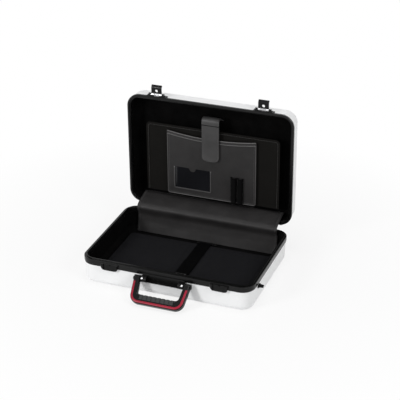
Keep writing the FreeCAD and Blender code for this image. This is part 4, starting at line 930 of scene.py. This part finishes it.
class BRIEFCASE_OT_file_pocket(bpy.types.Operator):
    """Make the file pocket: its panel, top binding, piping and folded gusset"""

    bl_idname = "briefcase.file_pocket"
    bl_label = "File pocket"

    def execute(self, context):
        sizes = context.scene.briefcase_sizes

        def put(x, y):
            x *= 2 * PANEL_HALF
            corner = max(abs(x) - (PANEL_HALF - PANEL_CORNER), 0)
            foot = PANEL_LOW + PANEL_CORNER - math.sqrt(max(PANEL_CORNER ** 2 - corner ** 2, 0))
            z = foot + (y + 0.5) * (panel_top(x) - foot)
            return x, PANEL_DEPTH + ripple((x, 0, z), 18, 4.0) * PANEL_WAVE, z

        panel = piece("pocket_front", grid_sheet(80, 60, put), "leatherette", "lid", ("pocket_panel",))
        thicken(panel, PANEL_THICKNESS, edge=0.0004)

        rim = [Vector((x, PANEL_DEPTH, panel_top(x))) for x in levels(-PANEL_HALF, PANEL_HALF, PANEL_RIM_COLUMNS)]
        wrap = [(x, y, 0) for x, y in BINDING] + [(0, BINDING_RISE, 0)] + [(-x, y, 0) for x, y in BINDING[::-1]]
        binding = piece("pocket_binding", swept(wrap, stations(rim, Y_AXIS), closed=True), "leatherette", "lid")
        soften(binding, 0.0004)

        side = PANEL_HALF - PIPING_INSET
        outline = around(-side, side, PANEL_HIGH - PIPING_TOP, PANEL_LOW + PIPING_INSET, PANEL_DEPTH)
        path = stations(eased(outline, PANEL_CORNER, PIPING_STEP), Y_AXIS)
        # the piping's lighter colour is partly a painted highlight along the panel's edge
        piping = piece("pocket_piping", swept(ring(sizes.piping_radius), path, closed=True), "piping", "lid")
        # two thin light lines along the binding, painted highlights on its top and lower edges
        bm = bmesh.new()
        for radius, drop in BINDING_LINES:
            line = [Vector((p.x, PANEL_DEPTH - BINDING_FRONT, p.z - drop)) for p in rim]
            sweep(bm, ring(radius), stations(line, Y_AXIS), closed=True)
        top_highlight = piece("pocket_top_highlight", bm, "binding_highlight", "lid")

        front = PANEL_DEPTH - BINDING_THREAD_FRONT
        row = [Vector((p.x, front, p.z - BINDING_THREAD_DROP)) for p in evenly(rim, sizes.stitch_pitch)[1:-1]]
        side -= PANEL_THREAD_INSET
        seam = around(-side, side, PANEL_HIGH - PANEL_THREAD_TOP, PANEL_LOW + PANEL_THREAD_FOOT,
                      PANEL_DEPTH - PANEL_THICKNESS / 2)
        threads = stations(row, Y_AXIS) + thread_row(seam, Y_AXIS, PANEL_THREAD_CORNER)
        sewing = sewn("pocket", threads, "lid")

        low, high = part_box("pocket_gusset")
        half = (high.y - low.y) / 2 - 0.0004
        outline = [(x, (low.y + high.y) / 2, z) for x, _, z in outline]
        places = []
        for place in stations(eased(outline, PANEL_CORNER, PIPING_STEP), Y_AXIS):
            rise = clamped((place.translation.z - PANEL_LOW - PANEL_CORNER) / PLEAT_EASE)
            places.append(place @ Matrix.Diagonal((1, 1 + PLEAT_SPREAD * rise, 1, 1)))
        fold = [(half * share, out, 0) for share, out in PLEAT]
        # near-black pleat cloth beside the panel: partly bellows, partly painted shade of the recess
        gusset = piece("pocket_gusset_cloth", swept(fold, places), "gusset_cloth", "lid", ("pocket_gusset",))
        thicken(gusset, sizes.cloth_thickness)
        return {"FINISHED"}


CARD_NOTCH = 0.010
CARD_SEAM = 0.0045
CARD_SEAM_STEP = 0.0006
CARD_WELD = 0.0003
CARD_SWELL = 0.0002
CARD_FRAME_RISE = 0.0008
CARD_FRAME_BACK = 0.0010
# the card frame's section, in shares of its rise and of half its width
CARD_FRAME = ((0, -1), (0.7, -1), (1, -0.7), (1, 0.7), (0.7, 1), (0, 1))


class BRIEFCASE_OT_card_pocket(bpy.types.Operator):
    """Weld the glossy card pocket with its thumb notch"""

    bl_idname = "briefcase.card_pocket"
    bl_label = "Card pocket"

    def execute(self, context):
        sizes = context.scene.briefcase_sizes
        low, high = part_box("card_pocket")
        centre = (low.x + high.x) / 2
        seam = low.x + CARD_SEAM
        half = [low.x, low.x + CARD_SEAM_STEP, seam, seam + CARD_SEAM_STEP]
        half += levels(seam + 0.003, centre - CARD_NOTCH - 0.001, 18)
        half += [centre - CARD_NOTCH * math.cos(turn) for turn in levels(0, math.pi, 20)[:10]]
        columns = half + [centre] + [2 * centre - x for x in reversed(half)]
        seam_share = CARD_SEAM / (high.z - low.z)
        rows = [0, 0.01, seam_share, seam_share + 0.01] + levels(0.1, 1, 24)
        bm = swept([(x, 0, 0) for x in columns], rising(rows))
        depth = (low.y + high.y) / 2
        for vert in bm.verts:
            x = vert.co.x
            cut = math.sqrt(max(CARD_NOTCH ** 2 - (x - centre) ** 2, 0))
            z = low.z + vert.co.z * (high.z - cut - low.z)
            edge = min(near_edge(x, low.x, high.x), z - low.z)
            weld = CARD_WELD if edge <= CARD_SEAM + SAME_PLACE else -CARD_SWELL
            vert.co = (x, depth + weld + ripple((x, 0, z), 30, 6.0) * CARD_SWELL, z)
        face_out(bm)
        pocket = piece("card_sleeve", bm, "pocket_vinyl", "lid", ("card_pocket",))
        thicken(pocket, sizes.vinyl_thickness, edge=0.0003)
        welt = sizes.card_frame / 2
        corners = around(low.x - welt, high.x + welt, high.z, low.z - welt, PANEL_DEPTH - CARD_FRAME_BACK)
        band = [(-CARD_FRAME_RISE * rise, welt * share, 0) for rise, share in CARD_FRAME]
        bm = swept(band, stations(eased(corners, 0.002, 0.004), Y_AXIS), closed=True)
        # the card frame takes the piping's lighter colour, partly a painted highlight round the card pocket
        surround = piece("card_surround", bm, "piping", "lid")
        return {"FINISHED"}


PEN_AXIS = 0.1838
PEN_RADIUS = 0.0064
PEN_FROM_SIDE = 0.011
PEN_HEM = 0.004
PEN_HEM_RISE = 0.0006
PEN_WAIST = 0.0004
PEN_WAIST_REACH = 0.030
PEN_PROUD = 0.009
PEN_WAVE = 0.0003
PEN_THREAD_FROM_SIDE = 0.0022
PEN_THREAD_END = 0.003


class BRIEFCASE_OT_pen_sleeves(bpy.types.Operator):
    """Form the two elastic pen sleeves and sew them down"""

    bl_idname = "briefcase.pen_sleeves"
    bl_label = "Pen sleeves"

    def execute(self, context):
        low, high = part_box("pen_sleeves")
        back = high.y - 0.0006
        start = math.pi + math.asin((back - PEN_AXIS) / PEN_RADIUS)
        outline = [Vector((low.x + 0.0004, back, 0))]
        for centre in (low.x + PEN_FROM_SIDE, high.x - PEN_FROM_SIDE):
            outline += [Vector((centre + PEN_RADIUS * math.cos(turn), PEN_AXIS - PEN_RADIUS * math.sin(turn), 0))
                        for turn in levels(start, math.pi - start, 24)]
        outline.append(Vector((high.x - 0.0004, back, 0)))
        bm = swept(outline, rising(levels(low.z + 0.0005, high.z - 0.0005, 40)))
        for vert in bm.verts:
            edge = near_edge(vert.co.z, low.z, high.z)
            proud = max(back - vert.co.y, 0) / PEN_PROUD
            waist = PEN_WAIST * math.sin(min(edge / PEN_WAIST_REACH, 1) * math.pi / 2)
            hem = PEN_HEM_RISE if edge < PEN_HEM else -waist
            vert.co.y -= hem * proud + ripple(vert.co, 60, 7.0) * PEN_WAVE * proud
        sleeves = piece("pen_loops", bm, "gusset_cloth", "lid", ("pen_sleeves",))
        thicken(sleeves, 0.0010, edge=0.0003)
        threads = []
        for x in (low.x + PEN_THREAD_FROM_SIDE, (low.x + high.x) / 2, high.x - PEN_THREAD_FROM_SIDE):
            ends = (low.z + PEN_THREAD_END, high.z - PEN_THREAD_END)
            threads += thread_row([(x, back - 0.0006, z) for z in ends], Y_AXIS)
        sewing = sewn("pen_loops", threads, "lid")
        return {"FINISHED"}


TAB_HALF = 0.0245
TAB_CORNER = 0.014
TAB_PATH = ((0, 0.2182, 0.3420), (0, 0.1829, 0.3620), (0, 0.1806, 0.3000), (0, 0.1832, 0.2620),
            (0, 0.1798, 0.2330))
TAB_EASE = 0.0182
TAB_STEP = 0.0013
TAB_COLUMNS = (0.2, 0.4, 0.6, 0.78, 0.86, 0.90, 0.99, 1)
TAB_CROWN = 0.0007
TAB_CROWN_SHARE = 0.86
TAB_HANGS_FROM_ROOT = 0.030
TAB_THREAD_INSET = 0.0032
TAB_THREAD_CORNER = 0.0106
TAB_SEAM = 0.3385
# a near-black cord just under the band's lower edge, a painted shadow line: its radius, drop and inset
TAB_SHADOW_LINE_RADIUS = 0.0011
TAB_SHADOW_LINE_DROP = 0.0006
TAB_SHADOW_LINE_INSET = 0.0008
BAND_THICKNESS = 0.0013
BAND_FROM_ROOT = 0.0145
BAND_THREAD_RISE = 0.003
PATCH_THICKNESS = 0.0007
PATCH_FUZZ = 0.0002


class BRIEFCASE_OT_closing_tab(bpy.types.Operator):
    """Sew the padded closing tab and set its hook and loop patches"""

    bl_idname = "briefcase.closing_tab"
    bl_label = "Closing tab"

    def execute(self, context):
        sizes = context.scene.briefcase_sizes
        skin = sizes.tab_thickness / 2
        points = eased(TAB_PATH, TAB_EASE, TAB_STEP)
        total = reach_of(points)
        shaped = []
        for index, place in enumerate(stations(points, X_AXIS)):
            past = max(reach_of(points[:index + 1]) - (total - TAB_CORNER), 0)
            half = TAB_HALF - TAB_CORNER + math.sqrt(max(TAB_CORNER ** 2 - past ** 2, NO_LENGTH))
            shaped.append(place @ Matrix.Diagonal((half, 1, 1, 1)))
        shares = [-share for share in TAB_COLUMNS[::-1]] + [0, *TAB_COLUMNS]
        crown = [(share, TAB_CROWN * (1 - min(abs(share) / TAB_CROWN_SHARE, 1) ** 4), 0) for share in shares]
        tab = piece("closing_tab_strap", swept(crown, shaped), "tab_leather", "closing_tab", ("pocket_tab",))
        thicken(tab, sizes.tab_thickness, edge=0.0007)

        front = [point for point in points if point.y < TAB_PATH[0][1] - TAB_HANGS_FROM_ROOT]
        seam = len(points) - len([point for point in front if point.z < TAB_SEAM])
        clear = len([point for point in points[:seam] if (point - points[0]).length < BAND_FROM_ROOT])
        rise = moved(0, skin + BAND_THICKNESS / 2, 0)
        bm = swept(crown, [place @ rise for place in shaped[clear:seam]])
        band = piece("closing_tab_band", bm, "tab_leather", "closing_tab")
        thicken(band, BAND_THICKNESS, edge=0.0005)

        def on_face(x, z):
            """Return the place on the tab's outer face nearest to a height."""
            return Vector((x, min(front, key=lambda point: abs(point.z - z)).y - skin, z))

        # painted shadow: a thin near-black cord under the band's lower edge stands for the shade line cast by the
        # band's step
        side = TAB_HALF - TAB_SHADOW_LINE_INSET
        ends = [on_face(x, TAB_SEAM - TAB_SHADOW_LINE_DROP) for x in (-side, side)]
        bm = swept(ring(TAB_SHADOW_LINE_RADIUS), stations(evenly(ends, 0.006), Y_AXIS), closed=True)
        shadow_line = piece("closing_tab_shadow_line", bm, "gusset_cloth", "closing_tab")

        side = TAB_HALF - TAB_THREAD_INSET
        foot = points[-1].z + TAB_THREAD_INSET
        start = points[-1].z + TAB_CORNER
        rows = stations(evenly(points[seam:], sizes.stitch_pitch), X_AXIS)
        threads = [moved(x, 0, 0) @ place @ moved(0, skin, 0)
                   for x in (-side, side) for place in rows if place.translation.z > start]
        row = [on_face(x, z) for x, _, z in around(-side, side, start, foot, 0)]
        threads += thread_row(row, Y_AXIS, TAB_THREAD_CORNER)
        proud = Vector((0, -BAND_THICKNESS - 0.0004, 0))
        row = [on_face(x, TAB_SEAM + BAND_THREAD_RISE) + proud for x in (-side, side)]
        threads += thread_row(row, Y_AXIS)
        sewing = sewn("closing_tab", threads, "closing_tab")

        for node, name, body, seed in (("fastener_hook_pad", "hook_patch", "closing_tab", 1.0),
                                       ("fastener_loop_pad", "loop_patch", "lid", 2.0)):
            low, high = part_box(node)

            def put(x, y):
                x = (low.x + high.x) / 2 + x * (high.x - low.x)
                z = (low.z + high.z) / 2 + y * (high.z - low.z)
                return x, (low.y + high.y) / 2 + ripple((x, 0, z), 900, seed) * PATCH_FUZZ, z

            patch = piece(name, grid_sheet(40, 28, put), "webbing", body, (node,))
            thicken(patch, PATCH_THICKNESS, edge=0.0002)
        return {"FINISHED"}


# ---- stage ----

VIEW_RIGHT = Vector((0.93493, 0.35475, -0.00735))
VIEW_UP = Vector((-0.15651, 0.43089, 0.88873))
VIEW_BACK = Vector((0.31845, -0.82975, 0.45837))
LAMP_AIM = Vector((0, 0.05, 0.15))
FLOOR_HALF = 9
FLOOR_GREY = 0.86
# the floor's own glow in the picture: from this near the case to this far, and its shares there
GLOW_NEAR, GLOW_FAR = 0.3, 0.9
GLOW_LOW, GLOW_HIGH = 0.80, 1.0


def seen_directly(tree):
    """Return one for rays from the camera, a mirror or glass, and zero for lighting rays."""
    path = add(tree, "LightPath")
    direct = maths(tree, "MAXIMUM", path.outputs["Is Camera Ray"], path.outputs["Is Glossy Ray"])
    return maths(tree, "MAXIMUM", direct, path.outputs["Is Transmission Ray"])


def stage_paper():
    """Return the floor's paper, which shows nearly white and keeps the case's shadow."""
    paper = bpy.data.materials.new("stage_paper")
    paper.use_nodes = True
    tree = paper.node_tree
    shader = tree.nodes["Principled BSDF"]
    shader.inputs["Base Color"].default_value = (FLOOR_GREY, FLOOR_GREY, FLOOR_GREY, 1)
    shader.inputs["Roughness"].default_value = 0.9
    shader.inputs["Specular IOR Level"].default_value = 0.1
    away = add(tree, "VectorMath", add(tree, "TexCoord").outputs["Object"], operation="LENGTH")
    white = spread(tree, away.outputs["Value"], GLOW_NEAR, GLOW_FAR, GLOW_LOW, GLOW_HIGH)
    share = maths(tree, "MULTIPLY", seen_directly(tree), white)
    mix = add(tree, "MixShader", share, shader.outputs[0], add(tree, "Emission").outputs[0])
    feed(tree, tree.nodes["Material Output"].inputs["Surface"], mix.outputs[0])
    return paper


class BRIEFCASE_OT_stage(bpy.types.Operator):
    """Set the pale floor, the soft lamps and the camera"""

    bl_idname = "briefcase.stage"
    bl_label = "Stage"

    def execute(self, context):
        scene = context.scene
        stage = scene.briefcase_stage
        scene.view_settings.view_transform = "Standard"

        bm = bmesh.new()
        bmesh.ops.create_grid(bm, x_segments=24, y_segments=24, size=FLOOR_HALF)
        floor = placed("floor", mesh_of("floor", bm))
        floor.data.materials.append(stage_paper())

        scene.world = bpy.data.worlds.new("studio")
        scene.world.use_nodes = True
        tree = scene.world.node_tree
        sky = tree.nodes["Background"]
        sky.inputs["Color"].default_value = (1, 1, 1, 1)
        feed(tree, sky.inputs["Strength"], spread(tree, seen_directly(tree), 0, 1, stage.sky, 1.0))

        for name, place, size, watts in (
                ("key_lamp", (1.7, -0.9, 1.5), 0.7, stage.key_power),
                ("top_lamp", (0.1, 0.0, 2.2), 0.9, stage.top_power),
                ("fill_lamp", (-1.3, -2.1, 1.25), 0.6, stage.fill_power)):
            light = bpy.data.lights.new(name, "AREA")
            light.size = size
            light.energy = watts
            lamp = placed(name, light)
            lamp.location = place
            lamp.rotation_euler = (LAMP_AIM - Vector(place)).to_track_quat("-Z", "Y").to_euler()

        camera = placed("camera", bpy.data.cameras.new("camera"))
        camera.data.lens = stage.lens
        camera.data.sensor_width = 36
        turn = Matrix((VIEW_RIGHT, VIEW_UP, VIEW_BACK)).transposed().to_4x4()
        camera.matrix_world = Matrix.Translation(stage.camera_place) @ turn
        scene.camera = camera
        return {"FINISHED"}


# ---- panel and registration ----

GROUPS = (
    ("briefcase_colours", BriefcaseColours),
    ("briefcase_sizes", BriefcaseSizes),
    ("briefcase_stage", BriefcaseStage),
)
STEPS = (
    BRIEFCASE_OT_shells,
    BRIEFCASE_OT_fittings,
    BRIEFCASE_OT_handle,
    BRIEFCASE_OT_rivets,
    BRIEFCASE_OT_flap,
    BRIEFCASE_OT_floor_pad,
    BRIEFCASE_OT_strap,
    BRIEFCASE_OT_organizer,
    BRIEFCASE_OT_file_pocket,
    BRIEFCASE_OT_card_pocket,
    BRIEFCASE_OT_pen_sleeves,
    BRIEFCASE_OT_closing_tab,
    BRIEFCASE_OT_stage,
)


class BRIEFCASE_PT_panel(bpy.types.Panel):
    """Lists the briefcase's colours, sizes and steps"""

    bl_label = "Briefcase"
    bl_idname = "BRIEFCASE_PT_panel"
    bl_space_type = "VIEW_3D"
    bl_region_type = "UI"
    bl_category = "Briefcase"

    def draw(self, context):
        for name, kind in GROUPS:
            box = self.layout.box()
            for key in kind.__annotations__:
                box.prop(getattr(context.scene, name), key)
        for step in STEPS:
            self.layout.operator(step.bl_idname)


def register():
    for name, group in GROUPS:
        bpy.utils.register_class(group)
        setattr(bpy.types.Scene, name, PointerProperty(type=group))
    for step in STEPS:
        bpy.utils.register_class(step)
    bpy.utils.register_class(BRIEFCASE_PT_panel)


def unregister():
    bpy.utils.unregister_class(BRIEFCASE_PT_panel)
    for step in reversed(STEPS):
        bpy.utils.unregister_class(step)
    for name, group in reversed(GROUPS):
        delattr(bpy.types.Scene, name)
        bpy.utils.unregister_class(group)


def main():
    register()
    for step in STEPS:
        getattr(bpy.ops.briefcase, step.bl_idname.partition(".")[2])()


if __name__ == "__main__":
    main()
